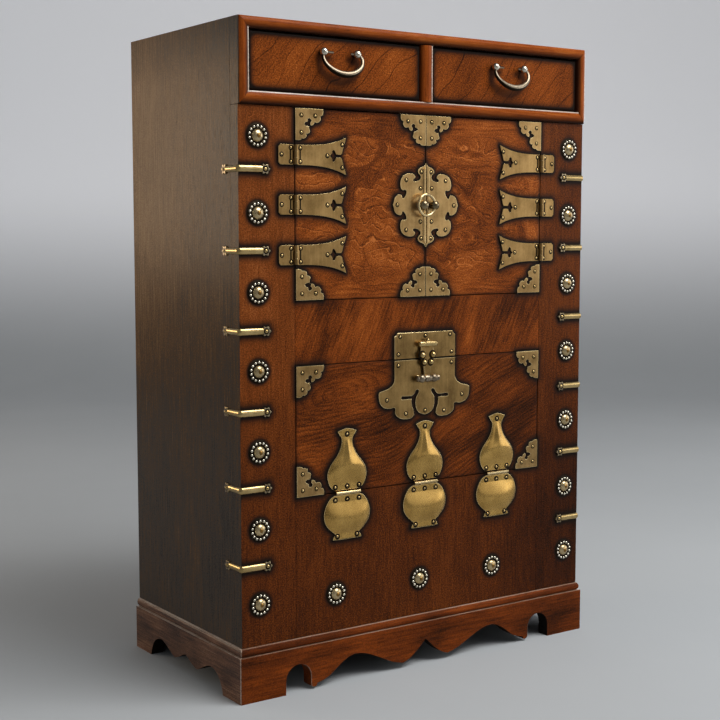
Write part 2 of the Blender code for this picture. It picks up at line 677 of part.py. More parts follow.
def build_door(side, name):
    """A door on three fishtail hinges, with its half of the lock plate and its knob.

    Its meeting edge slopes back, so that the inner corner swings past the other door.
    """
    body = f"{name}_door"
    pin = Vector((side * DOOR_PIN_X, PIN_Y, Z_DOOR))
    add_body(body, pin, "chest")
    meeting = RUN / 2
    reach = DOOR_PIN_X - meeting
    slope = DOOR_PIN_X - sqrt(reach**2 - (FRONT_T - PIN_Y)**2)
    edge = OPEN_HALF - RUN
    low = Z_DOOR + RUN / 2
    high = Z_FRAME - RUN
    section = ((meeting, 0.0), (edge, 0.0), (edge, FRONT_T), (slope, FRONT_T))
    mesh = outline_mesh([(side * x, y) for x, y in section], high - low)
    mesh.transform(Matrix.Translation((0.0, 0.0, (low + high) / 2)))
    add_piece(f"{name}_door_panel", mesh, "front_wood", body)
    for number, rise in enumerate(DOOR_HINGES, 1):
        to_stile = Matrix.Translation((pin.x, 0.0, Z_DOOR + rise))
        to_door = to_stile
        if side < 0:
            to_stile = to_stile @ Matrix.Rotation(pi, 4, "Y")
        else:
            to_door = to_door @ Matrix.Rotation(pi, 4, "Y")
        label = f"{name}_hinge_{number}"
        add_leaf(f"{label}_stile_leaf", frame_leaf_outline(), DOOR_LEAF_H, True, to_stile, "chest")
        add_leaf(f"{label}_door_leaf", door_leaf_outline(), DOOR_LEAF_H, False, to_door, body)
    half = [(max(x, RUN / 2), z + ROSETTE_Z) for x, z in rosette_outline()]
    mesh = flat_mesh([(side * x, z) for x, z in half], -BRASS_FACE, -SEAT)
    add_piece(f"{name}_lock_plate_half", mesh, "brass", body)
    build_knob(side, name, body)


def rosette_outline():
    """Right half of the lock plate about its centre, from its top to its bottom."""
    points = (*ROSETTE_TOP, *ROSETTE_NOTCH_1, *ROSETTE_SQUARE, *ROSETTE_NOTCH_2, *ROSETTE_SIDE)
    quarter = [(ROSETTE_R * x, ROSETTE_R * z) for x, z in smooth_run(points, 2)]
    return quarter + [(x, -z) for x, z in reversed(quarter[:-1])]


def build_knob(side, name, body):
    """The left door's ball knob, or the right door's pierced one with the ring that hangs in it."""
    centre = Vector((side * KNOB_X, -KNOB_REACH, ROSETTE_Z))
    root = (centre.x, -(BRASS_FACE + SEAT), centre.z)
    ball_r = KNOB_R if side < 0 else EYE_R
    label = "left_door_knob" if side < 0 else "right_door_ring_eye"
    knob = add_piece(label, ball_mesh(centre, ball_r), "brass", body, smooth=True)
    boolean(knob, rod_mesh(root, centre, KNOB_STEM_R, 12), "UNION")
    if side < 0:
        return
    reach = Vector((0.0, 0.0, 2 * EYE_R))
    eye = RING_WIRE_R + RING_SAG + RING_CLEAR
    boolean(knob, rod_mesh(centre - reach, centre + reach, eye, 12), "DIFFERENCE")
    add_body("door_ring", centre, body)
    bpy.ops.mesh.primitive_torus_add(major_segments=32, minor_segments=8, major_radius=RING_R,
                                     minor_radius=RING_WIRE_R)
    made = bpy.context.object
    mesh = made.data.copy()
    bpy.data.objects.remove(made)
    mesh.transform(Matrix.Translation((RING_SAG - RING_R, 0.0, 0.0)) @ Matrix.Rotation(pi / 2, 4, "X"))
    mesh.transform(Matrix.Translation(centre) @ Matrix.Rotation(RING_TILT, 4, "Z"))
    add_piece("door_lock_ring", mesh, "brass", "door_ring", smooth=True)


def build_drop_front():
    """The drop front on three gourd hinges, with its lock plate, staple and hasp."""
    pin = Vector((0.0, PIN_Y, Z_DROP))
    add_body("drop_front", pin, "chest")
    half = OPEN_HALF - RUN
    board("drop_front_panel", (-half, 0.0, Z_DROP + RUN / 2), (half, FRONT_T, Z_RAIL - RUN / 2), "front_wood",
          "drop_front")
    for name, offset in (("left", -GOURD_X), ("middle", 0.0), ("right", GOURD_X)):
        place = Matrix.Translation((offset, 0.0, Z_DROP))
        lower = gourd_outline(GOURD_LOWER_L, GOURD_LOWER, ())
        downwards = place @ Matrix.Rotation(pi / 2, 4, "Y")
        add_leaf(f"{name}_gourd_lower_leaf", lower, GOURD_KNUCKLES_W, True, downwards, "chest")
        upper = gourd_outline(GOURD_UPPER_L, GOURD_UPPER, GOURD_HEAD)
        upwards = place @ Matrix.Rotation(-pi / 2, 4, "Y")
        add_leaf(f"{name}_gourd_upper_leaf", upper, GOURD_KNUCKLES_W, False, upwards, "drop_front")
    build_lock()


def lobe_arc(lobe, start, end, steps):
    """An arc of one of the lock plate's lobes."""
    return arc((lobe[0], Z_RAIL - lobe[1]), lobe[2], start, end, steps)


def slot_bar(start, end):
    """A straight slot with round ends, between two points given from the middle and below the seam."""
    a = Vector((start[0], Z_RAIL - start[1]))
    b = Vector((end[0], Z_RAIL - end[1]))
    angle = (b - a).angle_signed(Vector((1.0, 0.0)))
    turn = angle * 180 / pi
    return arc(b, SLOT_W / 2, turn - 90, turn + 90, 5) + arc(a, SLOT_W / 2, turn + 90, turn + 270, 5)


def build_lock():
    """Lock plates either side of the seam, the staple with its cross pin, and the hasp with its lift bar."""
    half = LOCK_W / 2
    low = Z_RAIL + RUN / 2
    high = Z_RAIL + LOCK_UPPER_H
    upper = [(half, low), (half, high - LOCK_CLIP)]
    upper += arc((half, high), LOCK_CLIP, 270, 180, 3)[1:]
    add_piece("rail_lock_plate", flat_mesh(mirrored(upper), -BRASS_FACE, -SEAT), "brass", "chest")

    lower = [(half, Z_RAIL - RUN / 2), (half, Z_RAIL - LOCK_SHOULDER)]
    lower += lobe_arc((half + SIDE_LOBE[0], *SIDE_LOBE[1:]), *SIDE_LOBE_ARC, 10)
    lower += lobe_arc(FOOT_LOBE, *FOOT_LOBE_ARC, 9)
    lower += lobe_arc(PEACH_LOBE, *PEACH_LOBE_ARC, 3)
    lower = list(reversed([(0.0 if abs(x) < 1e-9 else x, z) for x, z in lower]))
    mesh = flat_mesh(mirrored(lower), -BRASS_FACE, -SEAT)
    plate = add_piece("drop_front_lock_plate", mesh, "brass", "drop_front")
    peach = (PEACH_LOBE[0], Z_RAIL - PEACH_LOBE[1])
    inside = PEACH_LOBE[2]
    start, end = CRESCENT_ARC
    crescent = arc(peach, inside, start, end, 6) + arc(peach, inside + SLOT_W, end, start, 6)
    for shape in (crescent, slot_bar(SLOT_FORK, SLOT_OUTER), slot_bar(SLOT_FORK, SLOT_INNER)):
        for hand in (1, -1):
            cut = flat_mesh([(hand * x, z) for x, z in shape], -2 * BRASS_FACE, 2 * BRASS_FACE)
            boolean(plate, cut, "DIFFERENCE")

    pin = Vector((0.0, HASP_PIN_Y, Z_RAIL - HASP_PIN_Z))
    reach = Vector((HASP_PIN_L / 2, 0.0, 0.0))
    rod = rod_mesh(pin - reach, pin + reach, HASP_PIN_R, 12)
    staple = add_piece("hasp_staple", rod, "brass", "drop_front", smooth=True)
    for hand in (-1, 1):
        boolean(staple, ball_mesh(pin + hand * reach, HASP_BALL_R), "UNION")
        post = pin + Vector((hand * STAPLE_X, 0.0, 0.0))
        boolean(staple, ball_mesh(post, HASP_BALL_R - SEAT), "UNION")
        boolean(staple, rod_mesh((post.x, -(BRASS_FACE + SEAT), post.z), post, STAPLE_R, 12), "UNION")

    add_body("hasp", pin, "drop_front")
    bar = Vector((0.0, LIFT_BAR_Y, Z_RAIL + LIFT_BAR_Z))
    strap = [(width, pin.z + share * (bar.z - pin.z)) for share, width in HASP_STRAP]
    mesh = flat_mesh(mirrored(strap), LIFT_BAR_Y - LEAF_T / 2, LIFT_BAR_Y + LEAF_T / 2)
    hasp = add_piece("hasp_strap", mesh, "brass", "hasp", smooth=True)
    along = Vector((LIFT_BAR_L / 2, 0.0, 0.0))
    boolean(hasp, rod_mesh(bar - along, bar + along, LIFT_BAR_R, 12), "UNION")
    boolean(hasp, ball_mesh(bar + Vector((0.0, 0.0, LIFT_BAR_R)), LIFT_BALL_R), "UNION")
    along = Vector((HASP_KNUCKLE_L / 2, 0.0, 0.0))
    boolean(hasp, rod_mesh(pin - along, pin + along, HASP_KNUCKLE_R), "UNION")
    boolean(hasp, rod_mesh(pin - reach, pin + reach, HASP_PIN_R + PIN_CLEAR, 12), "DIFFERENCE")


def main():
    """Build the chest body by body."""
    add_body("chest", (0.0, 0.0, 0.0))
    build_case()
    build_front()
    build_plinth()
    build_frame()
    for side, name in ((-1, "left"), (1, "right")):
        build_drawer(side, name)
        build_door(side, name)
    build_drop_front()
    bpy.context.view_layer.update()


main()
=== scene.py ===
"""Looks for the bandaji chest: figured lacquered wood, cut brass, studs, straps and nails on the CAD frame.

Metres, in the row frame: +Z up, the front looks along -Y. Outlines are listed in millimetres.
"""

import json
from math import cos, exp, hypot, pi, radians, sin, sqrt

import bmesh
import bpy
from mathutils import Matrix, Vector
from mathutils.bvhtree import BVHTree

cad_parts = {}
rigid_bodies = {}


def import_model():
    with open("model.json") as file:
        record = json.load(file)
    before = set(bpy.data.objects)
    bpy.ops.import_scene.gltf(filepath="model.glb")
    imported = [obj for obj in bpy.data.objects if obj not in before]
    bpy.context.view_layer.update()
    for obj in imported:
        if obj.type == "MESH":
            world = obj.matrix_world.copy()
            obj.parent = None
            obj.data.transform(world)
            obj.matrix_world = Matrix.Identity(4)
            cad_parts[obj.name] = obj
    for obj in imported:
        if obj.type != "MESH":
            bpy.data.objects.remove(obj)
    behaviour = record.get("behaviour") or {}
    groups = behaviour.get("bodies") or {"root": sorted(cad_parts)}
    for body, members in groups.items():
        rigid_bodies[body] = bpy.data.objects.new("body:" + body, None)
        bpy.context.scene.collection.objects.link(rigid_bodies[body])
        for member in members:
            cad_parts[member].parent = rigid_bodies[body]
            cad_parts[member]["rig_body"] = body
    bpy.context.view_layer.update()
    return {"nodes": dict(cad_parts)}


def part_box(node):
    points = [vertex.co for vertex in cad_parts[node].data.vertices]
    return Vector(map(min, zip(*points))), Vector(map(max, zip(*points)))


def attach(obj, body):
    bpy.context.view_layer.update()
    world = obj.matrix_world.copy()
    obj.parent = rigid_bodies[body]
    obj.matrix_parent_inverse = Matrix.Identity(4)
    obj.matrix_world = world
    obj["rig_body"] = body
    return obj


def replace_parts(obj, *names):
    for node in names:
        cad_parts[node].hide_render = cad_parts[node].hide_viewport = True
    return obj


def mm(*rows):
    """Rows of lengths listed in millimetres, as metres."""
    return tuple(tuple(length / 1000 for length in row) for row in rows)


# Camera of the photograph
CAMERA_AT = (-1.18676, -1.69324, 0.63371)
CAMERA_TURN = (radians(90 - 5.482), 0.0, radians(-34.823))
CAMERA_LENS = 67.85
SENSOR_WIDTH = 36.0

# The world, and the lamps: place, aim, width, height, power, colour
WORLD_COLOUR = (0.95, 0.98, 1.0)
WORLD_STRENGTH = 0.27
WHITE = (1.0, 1.0, 1.0)
LAMPS = {
    "key": ((2.75, -1.05, 1.00), (0.0, -0.1, 0.50), 2.6, 1.4, 20.0, WHITE),
    "top": ((0.7, -1.5, 2.7), (0.0, -0.1, 0.60), 2.0, 1.6, 82.0, WHITE),
    "card": ((1.7, -2.6, 1.1), (0.0, -0.1, 0.50), 2.4, 1.6, 6.5, WHITE),
    "window": ((-2.25, 2.49, 0.90), (-0.3, 0.0, 0.75), 1.4, 0.8, 20.0, (1.0, 0.78, 0.56)),
}

# Floor: its reach, its curve up into a backdrop, its tones, and the distances where it fades into the world
FLOOR_REACH = 14.0
SWEEP_START = 3.0
SWEEP_R = 2.0
BACKDROP_TOP = 8.0
GROUND_DARK = (0.38, 0.395, 0.405)
GROUND_LIGHT = (0.44, 0.455, 0.465)
BACKDROP_TONE = (0.92, 0.91, 0.94)
BACKDROP_RISE = (0.02, 0.9)
BACKDROP_GLOW = 0.16
FADE_AT = (5.5, 9.5)

# Places that the part's source sets
PIN_X = 0.2190  # door hinge pins, from the middle
DOOR_SLOPE = 0.0013  # how far a door's meeting edge slopes in
DROP_Z = 0.2700  # pins of the gourd hinges
ROSETTE_Z = 0.6685  # middle of the round lock
KNOB_X = -0.0098  # ball knob beside the seam
BAIL_Z = 0.8697  # posts of the bails
RAIL_GAP = 0.001  # from the drop front up to the rail
LIP_GAP = 0.0003  # from the drop front back to the rail's lip
LEAF_FACE = 0.0018  # how far the CAD's plates stand proud

# Looks of a brass piece, by number
BRASS_LOOKS = (
    "plate", "bright", "patina_and_shade", "bead", "nub", "gourd", "aged", "dome", "bail", "strap", "lock", "rose")
PLATE, BRIGHT, PATINA_AND_SHADE, BEAD, NUB, GOURD, AGED, DOME, BAIL, STRAP, LOCK, ROSE = range(len(BRASS_LOOKS))

# Plates and nails; a nail's dome is in shares of its radius and height
PLATE_T = 0.0014
PLATE_EASE = 0.0007
LEAF_EASE = 0.0006
CLEAR = 0.0001  # keeps thin brass clear of the face under it
NAIL_R = 0.0021
NAIL_H = 0.0014
NAIL_DOME = ((0.0, 1.0), (0.45, 0.9), (0.8, 0.6), (1.0, 0.1), (1.0, 0.0))
NAIL_RING = 1.6  # radius of the dark ring, in nail radii
SMOOTH_ANGLE = 40  # degrees; sharper edges stay sharp

# Studs: turned profiles as radius and height, a ring of beads, and places
STUD_DISH = mm((0, 0.9), (15, 0.9), (16.3, 0))
STUD_DOME = mm((0, 5.4), (3.8, 5.1), (6.4, 3.9), (7.9, 2.2), (8.4, 0.8))
STUD_NUB = mm((0, 6.6), (1.8, 6.4), (2.8, 5.7), (3.4, 4.6))
STUD_BEADS = 14
BEAD_RING_R = 0.0125
BEAD_OUT = 0.0011
BEAD_R = 0.0021
STUD_X = 0.2766
STUD_Z = (0.7560, 0.6556, 0.5512, 0.4467, 0.3387, 0.2335, 0.1315)
LOW_STUDS = ((-0.1538, 0.1275), (-0.0080, 0.1280), (0.1290, 0.1278))

# Corner straps: each run gives distances and shares of the full width
STRAP_Z = (0.7130, 0.6060, 0.5000, 0.3920, 0.2890, 0.1830)
STRAP_H = 0.0096
STRAP_PROUD = 0.0032
STRAP_BEND = 0.0020
STRAP_END = 0.2700  # from the middle to the front end of a strap
STRAP_BACK = 0.0345  # from the front face to the flower on the side
STRAP_FRONT_RUN = ((0.0, 0.96), (0.0080, 1.0))  # from the front end
STRAP_SIDE_RUN = (  # from the front face
    (0.0020, 1.0), (0.0040, 1.0), (0.0080, 0.96), (0.0160, 0.92), (0.0240, 0.92), (0.0300, 0.94))
FLOWER_REACH = 0.0045  # from a strap's end to the middle of its flower
FLOWER_R = 0.0060
FLOWER_WAVE = 0.0011
FLOWER_LOBES = 6
FLOWER_T = 0.0026
FLOWER_NAIL = 1.3

# A corner plate, from its corner: along the rail, down the stile
CORNER_LOBE_1 = mm(
    (44, 0), (44.4, 4.4), (42.6, 8.8), (39.6, 9.8), (40.4, 13.4), (38, 17.2), (33.8, 18.6),
    (30.8, 17.8), (29.2, 20.6), (26.2, 22.6))
CORNER_NOTCH = mm(
    (24, 22.2), (23.4, 18.6), (25.4, 15.8), (22.6, 13), (19.4, 14.2), (19.2, 17.4), (16, 18.4),
    (14.2, 21), (17.2, 23), (21.4, 23.6))
CORNER_LOBE_2 = mm(
    (22, 26.8), (23.1, 29.8), (22, 32.4), (18.8, 33.6), (17, 33.4), (17.8, 35.8), (16.6, 38.5),
    (13, 40.1), (10.4, 39.8), (8.5, 41.6), (4.5, 42.4), (0, 42.4))
CORNER_NAILS = mm((9.5, 9), (31.5, 9.2), (9.5, 31.8))

# Door hinges: nails as distance from the pin and offset along it, and a dark block beside the pin painted in
# as the shade of a groove
STILE_NAILS = mm((7, 9), (7, -9), (21.5, 0))
DOOR_NAILS = mm((7.8, 9), (7.8, -9), (51, 0), (75.2, 15.5), (75.2, -15.5))
GROOVE_AT = 0.0076
GROOVE_W = 0.0022
GROOVE_H = 0.0130

# The round lock plate: a quarter of its edge from the top, its nails, and half of the strip along its seam
ROSETTE_EDGE = mm(
    (0.6, 59), (4, 54.8), (9.8, 53), (13.8, 50), (14.6, 46.4), (12.2, 43.4), (9.6, 40.4),
    (10.4, 36.8), (14.4, 34.2), (19.6, 33.2), (22.8, 34.2), (22.2, 36.4), (19.8, 37.8), (19.2, 40.2),
    (21.4, 43.2), (26.2, 44.4), (33, 44), (40, 41.2), (44.2, 35.8), (45.6, 29), (44.2, 23),
    (40.8, 20.4), (36.8, 21), (34.8, 19.2), (35.2, 15.4), (37.6, 11.4), (40.4, 9.2), (42.2, 10.8),
    (43, 13.6), (46.2, 14.6), (51.6, 13), (55.4, 9), (56.6, 4.4), (58.5, 0))
ROSETTE_NAILS = mm(
    (8.6, 46.8), (35.2, 35), (50.6, 0), (35.2, -35), (8.6, -46.8), (10, 23.8), (10, -23.2))
ROSETTE_STRIP = mm((1, 54), (5.2, 51), (5.2, -51), (1, -54))
STRIP_PROUD = 0.0012

# The lock plate on the drop front: half of its edge from the seam, and the right-hand nails of both plates
LOCK_EDGE = mm(
    (54.8, 448.8), (54.8, 423.6), (55.8, 418.1), (60.1, 412.9), (67.3, 409.1), (76.3, 406.9), (81.2, 405.2),
    (82.4, 401.2), (81.6, 394.8), (78.8, 387.7), (72.7, 382.8), (63.7, 380.9), (55.8, 382), (53.3, 379.8),
    (53.7, 375.7), (51.2, 369.9), (44, 365.5), (33.3, 363.9), (24.3, 365), (19.6, 369.1))
LOCK_SLOT = mm(
    (20.4, 375.4), (23.3, 382.2), (24.3, 389.4), (25.2, 392.8), (40.4, 392.6), (42.2, 394.8), (40.4, 397),
    (25.6, 396.6), (20.4, 398.8), (17.2, 403.6), (14, 405.4), (11.2, 403.6), (12.4, 399.6), (16, 394.6),
    (17.2, 388.8), (16.8, 382), (13.6, 374.3), (6.6, 369.9), (0, 368.3))
RAIL_NAILS = mm((45, 482.7), (0, 482.7), (48, 457.5))
LOCK_NAILS = mm((48, 441.8), (68, 393.5), (34.5, 372), (0, 374.5))

# The hasp: half-widths by height, right-hand rivets with their radius, half of its bars, and its staple
HASP_EDGE = mm(
    (0, 416.5), (4, 417), (5.6, 419), (5.6, 427), (6.2, 437), (9.4, 441), (10.4, 444.8),
    (9.6, 449), (12.8, 453), (14, 456), (12, 461), (11.2, 465), (12.8, 470), (12.8, 473),
    (0, 474))
HASP_BACK = 0.0048
HASP_FACE = 0.0068
HASP_RIVETS = mm((9.4, 455.3, 4.7), (6, 444.6, 4.1))
RIVET_LIFT = 0.0004
LIFT_BAR = mm((0, -16.5), (2.2, -16.3), (4, -15), (4.5, -13.2), (4.3, -5.2), (5, -4.4))
LIFT_AT = (0.0, 0.0072, 0.4712)
LIFT_BALL_UP = 0.0052
LIFT_BALL_R = 0.0028
HASP_KNUCKLE = mm((0, -5.7), (4.4, -5.6), (5.3, -3.2), (5.5, 0))
STAPLE_END = mm(
    (0, 6), (3.6, 6), (4.4, 6.8), (5.6, 8.4), (6.1, 11), (5.6, 13.8), (3.6, 16), (4.2, 17.4),
    (4.4, 19), (2.8, 20.5), (0, 20.8))
STAPLE_FOOT = mm((0, 7.6), (2.6, 7.4), (2.6, 3), (4.2, 1.8))
STAPLE_FOOT_X = 0.0125
PIN_AT = (0.0, 0.0075, 0.4215)

# Gourd hinges: distance from the pin and half-width, the right-hand nails, and the span of the raised field
GOURD_UPPER = mm(
    (3.4, 20.7), (9, 27.9), (17.5, 31.8), (26, 32.9), (33, 31.3), (40, 27.2), (45.7, 22.5),
    (51.3, 17.5), (57, 13.8), (62.6, 11.1), (68.2, 9.5), (72.5, 9), (76.7, 9.9), (80, 12.3),
    (83.8, 14.8), (85.6, 15.6), (87.4, 11), (88.8, 6.3), (90, 0))
GOURD_LOWER = mm(
    (3.4, 20.7), (6.5, 27.2), (10.7, 31.5), (16.4, 35.2), (23.4, 37.8), (30.5, 38.9), (38.9, 37.5),
    (44.6, 34.6), (50.2, 29.8), (54.4, 24.9), (57.2, 21.1), (59.2, 20.4), (62, 22.8), (64.3, 23.5),
    (66.3, 22.8), (66.7, 0))
GOURD_UPPER_NAILS = mm((0, 81.5), (20, 8.2), (0, 8.2))
GOURD_LOWER_NAILS = mm((20, -10), (0, -10), (16.5, -61.2))
GOURD_NAIL = 0.90
GOURD_NAIL_RING = 2.2
UPPER_FIELD = (0.0120, 0.0778)
LOWER_FIELD = (0.0130, 0.0585)
FIELD_H = 0.0064
FIELD_FOOT = 0.026  # length over which the field rises from the pin
FIELD_HEAD = 0.022  # and falls at its far end
FIELD_FULL = 0.028  # half-width at which it has its full height
FIELD_STEPS = 14
RIDGE_H = 0.0022
RIDGE_FROM = 0.030
RIDGE_RUN = 0.020
GOURD_LEAVES = {
    "upper": (1, GOURD_UPPER, UPPER_FIELD, RIDGE_H, GOURD_UPPER_NAILS),
    "lower": (-1, GOURD_LOWER, LOWER_FIELD, 0.0, GOURD_LOWER_NAILS),
}
KNUCKLE_R = 0.0023
KNUCKLE_HALF = 0.0206
KNUCKLE_EASE = 0.0003

# Half of a drawer bail: across, up and out from the middle of its posts, with its radius
BAIL_HALF = mm(
    (-14, 0, 7.2, 1.5), (-21, 0, 7.2, 1.7), (-26.2, 0, 7.2, 1.9), (-30, -2.8, 8.2, 2.1),
    (-31.8, -8.8, 10.4, 2.5), (-28.4, -17.2, 13.2, 3.1), (-19.6, -24.2, 15.4, 3.8),
    (-9.8, -28, 16.6, 4.3), (0, -29.2, 16.9, 4.5))
BAIL_PLAY = 0.0022  # how far a bail has slid along its posts
BAIL_FLAT = 0.85
POST = mm((0, 13.2), (3.3, 12.4), (5.2, 10.4), (5.9, 7.6), (5.2, 4.6), (3, 2.8))
POST_STEM = mm((3, 3.2), (2.4, 2), (3.4, 1.2), (3.8, 0))

# Door knobs as radius and height, and the ring
KNOB = mm(
    (0, 16.6), (4.2, 15.7), (6.6, 13.5), (7.7, 10.2), (6.6, 7), (3.6, 5), (2.8, 4), (6.2, 3),
    (7.2, 1.8))
EYE = mm((0, 15), (4, 14.1), (6.2, 11.8), (7.1, 8.6), (6.2, 5.4), (3.6, 3.2), (2.8, 2.4), (5, 1.9))
RING_R = 0.0148
RING_WIRE = 0.0021
RING_STEPS = 48

# Wood tones from dark to light, and their places on the scale of the figure
TONE_PLACES = (0.0, 0.30, 0.55, 0.78, 1.0)
SIDE_PLACES = (0.0, 0.30, 0.42, 0.55, 0.78, 1.0)
FRONT_TONES = (
    (0.010, 0.004, 0.002), (0.070, 0.016, 0.003), (0.180, 0.040, 0.006), (0.300, 0.074, 0.010),
    (0.480, 0.150, 0.034))
DEEP_TONES = (
    (0.009, 0.004, 0.002), (0.050, 0.012, 0.003), (0.122, 0.029, 0.005), (0.205, 0.052, 0.009),
    (0.330, 0.105, 0.028))
FRAME_TONES = (
    (0.024, 0.007, 0.002), (0.110, 0.023, 0.004), (0.220, 0.046, 0.006), (0.330, 0.086, 0.012),
    (0.500, 0.180, 0.045))
SIDE_TONES = (
    (0.012, 0.010, 0.009), (0.062, 0.052, 0.044), (0.080, 0.046, 0.024), (0.128, 0.066, 0.027),
    (0.230, 0.122, 0.048), (0.360, 0.215, 0.100))
FOOT_TONES = (
    (0.014, 0.009, 0.008), (0.058, 0.033, 0.025), (0.148, 0.074, 0.045), (0.270, 0.146, 0.090),
    (0.400, 0.245, 0.160))
# Pale tones for painted highlight lines along edges
HIGHLIGHT_TONES = (
    (0.240, 0.120, 0.070), (0.420, 0.280, 0.200), (0.620, 0.490, 0.400), (0.720, 0.610, 0.520),
    (0.800, 0.710, 0.630))
# Pale tones for the front base's bead and eased edges: wear with a painted highlight
WEAR_AND_HIGHLIGHT_TONES = (
    (0.090, 0.036, 0.016), (0.170, 0.086, 0.050), (0.290, 0.175, 0.118), (0.390, 0.260, 0.190),
    (0.480, 0.350, 0.270))
# Near-black painted shade for faces of the base that look down or inwards
UNDER_SHADE_TONES = (
    (0.003, 0.002, 0.002), (0.006, 0.005, 0.004), (0.010, 0.008, 0.006), (0.014, 0.011, 0.009),
    (0.022, 0.018, 0.014))
INNER_TONES = (
    (0.110, 0.060, 0.025), (0.230, 0.140, 0.068), (0.330, 0.215, 0.112), (0.420, 0.290, 0.165),
    (0.500, 0.370, 0.230))
# Dark colour of the glaze and of the painted shade mixed into the wood
GLAZE_AND_SHADE_COLOUR = (0.010, 0.006, 0.004)

# Brass: material name, dark tone, light tone, roughness, speckle
BRASS = {
    "plate": ("plate_brass", (0.190, 0.112, 0.040), (0.465, 0.294, 0.118), 0.33, 0.30),
    "hinge": ("hinge_brass", (0.176, 0.103, 0.034), (0.425, 0.264, 0.100), 0.33, 0.30),
    "rose": ("rosette_brass", (0.215, 0.128, 0.046), (0.530, 0.338, 0.138), 0.33, 0.30),
    "lock": ("lock_brass", (0.150, 0.088, 0.030), (0.400, 0.250, 0.092), 0.33, 0.30),
    "gourd": ("gourd_brass", (0.335, 0.196, 0.052), (0.570, 0.352, 0.104), 0.27, 0.16),
    "strap": ("strap_brass", (0.330, 0.225, 0.085), (0.560, 0.410, 0.190), 0.22, 0.16),
    "bright": ("bright_brass", (0.480, 0.350, 0.160), (0.740, 0.580, 0.320), 0.22, 0.12),
    "aged": ("aged_brass", (0.150, 0.112, 0.062), (0.290, 0.225, 0.130), 0.18, 0.12),
    "bead": ("bead_brass", (0.500, 0.455, 0.360), (0.740, 0.690, 0.580), 0.20, 0.10),
    "nub": ("nub_brass", (0.170, 0.090, 0.026), (0.320, 0.180, 0.050), 0.30, 0.10),
    "dome": ("dome_brass", (0.350, 0.258, 0.128), (0.600, 0.470, 0.270), 0.28, 0.14),
    "bail": ("bail_brass", (0.160, 0.122, 0.080), (0.330, 0.270, 0.195), 0.30, 0.24),
    # Dark brass: patina in hollows, and painted shade in grooves, along a seam, under bails and under rivets
    "patina_and_shade": ("dark_brass", (0.008, 0.006, 0.004), (0.026, 0.019, 0.011), 0.55, 0.10),
}

# Dark glaze and painted shade on the wood: its reach and amount round plates, studs and pulls (under the
# pulls a painted shadow), and on a panel's hidden sides
PLATE_GLAZE_AND_SHADE = (0.0082, 0.98)
STUD_GLAZE_AND_SHADE = (0.0040, 0.90)
PULL_SHADOW = (0.0050, 0.62)
PULL_DROP = 0.0065  # how far a pull's shade lies below it
GLAZE_AND_SHADE_FALL = 1.3
HIDDEN_SIDE_DARK = 0.2
PANEL_STEP = 0.003

# Drawer frame: look, axis of its painted shade, where that starts and ends, and its depth
FRAME_PIECES = {
    "drawer_frame_top_rail": ("frame_x", "z", 0.9045, 0.8925, 0.80),
    "drawer_frame_bottom_rail": ("frame_x", "z", 0.8085, 0.7965, 0.80),
    "drawer_frame_left_stile": ("frame_z", "x", -0.2995, -0.2925, 0.70),
    "drawer_divider": ("frame_z", "x", 0.0005, -0.0075, 0.22),
    "drawer_frame_right_stile": ("frame_z", "x", 0.2985, 0.2925, 0.70),
}

# Painted highlights along edges of the drawer frame, as thin pale rods: two ends as across, up and out of
# the front, then the radius
FRAME_EDGE_HIGHLIGHTS = mm(
    (-291.3, 810, 3.8, -291.3, 895, 3.8, 0.9), (8.3, 813.6, 3.4, 8.3, 891.4, 3.4, 0.9),
    (304.1, 800, 3.4, 304.1, 904, 3.4, 0.9), (-292.5, 811.9, 3.4, 292.5, 811.9, 3.4, 1))

# Eased edges of the boards, and the places that tell their faces apart
SIDE_EASE = 0.0003
INNER_EASE = 0.0006
BASE_EASE = 0.0008
FLANK_X = 0.304
BASE_FRONT_Y = -0.13
BASE_BACK_Y = 0.15
BASE_SIDE_X = 0.09
BASE_BEAD_Z = 0.06


class Signal:
    """A value that flows between a material's nodes, so that sums and products are written as such."""

    def __init__(self, graph, socket):
        self.graph = graph
        self.socket = socket

    def __add__(self, other):
        return self.graph.math("ADD", self, other)

    def __radd__(self, other):
        return self.graph.math("ADD", other, self)

    def __sub__(self, number):
        return self + -number

    def __mul__(self, other):
        return self.graph.math("MULTIPLY", self, other)

    def __truediv__(self, number):
        return self * (1 / number)


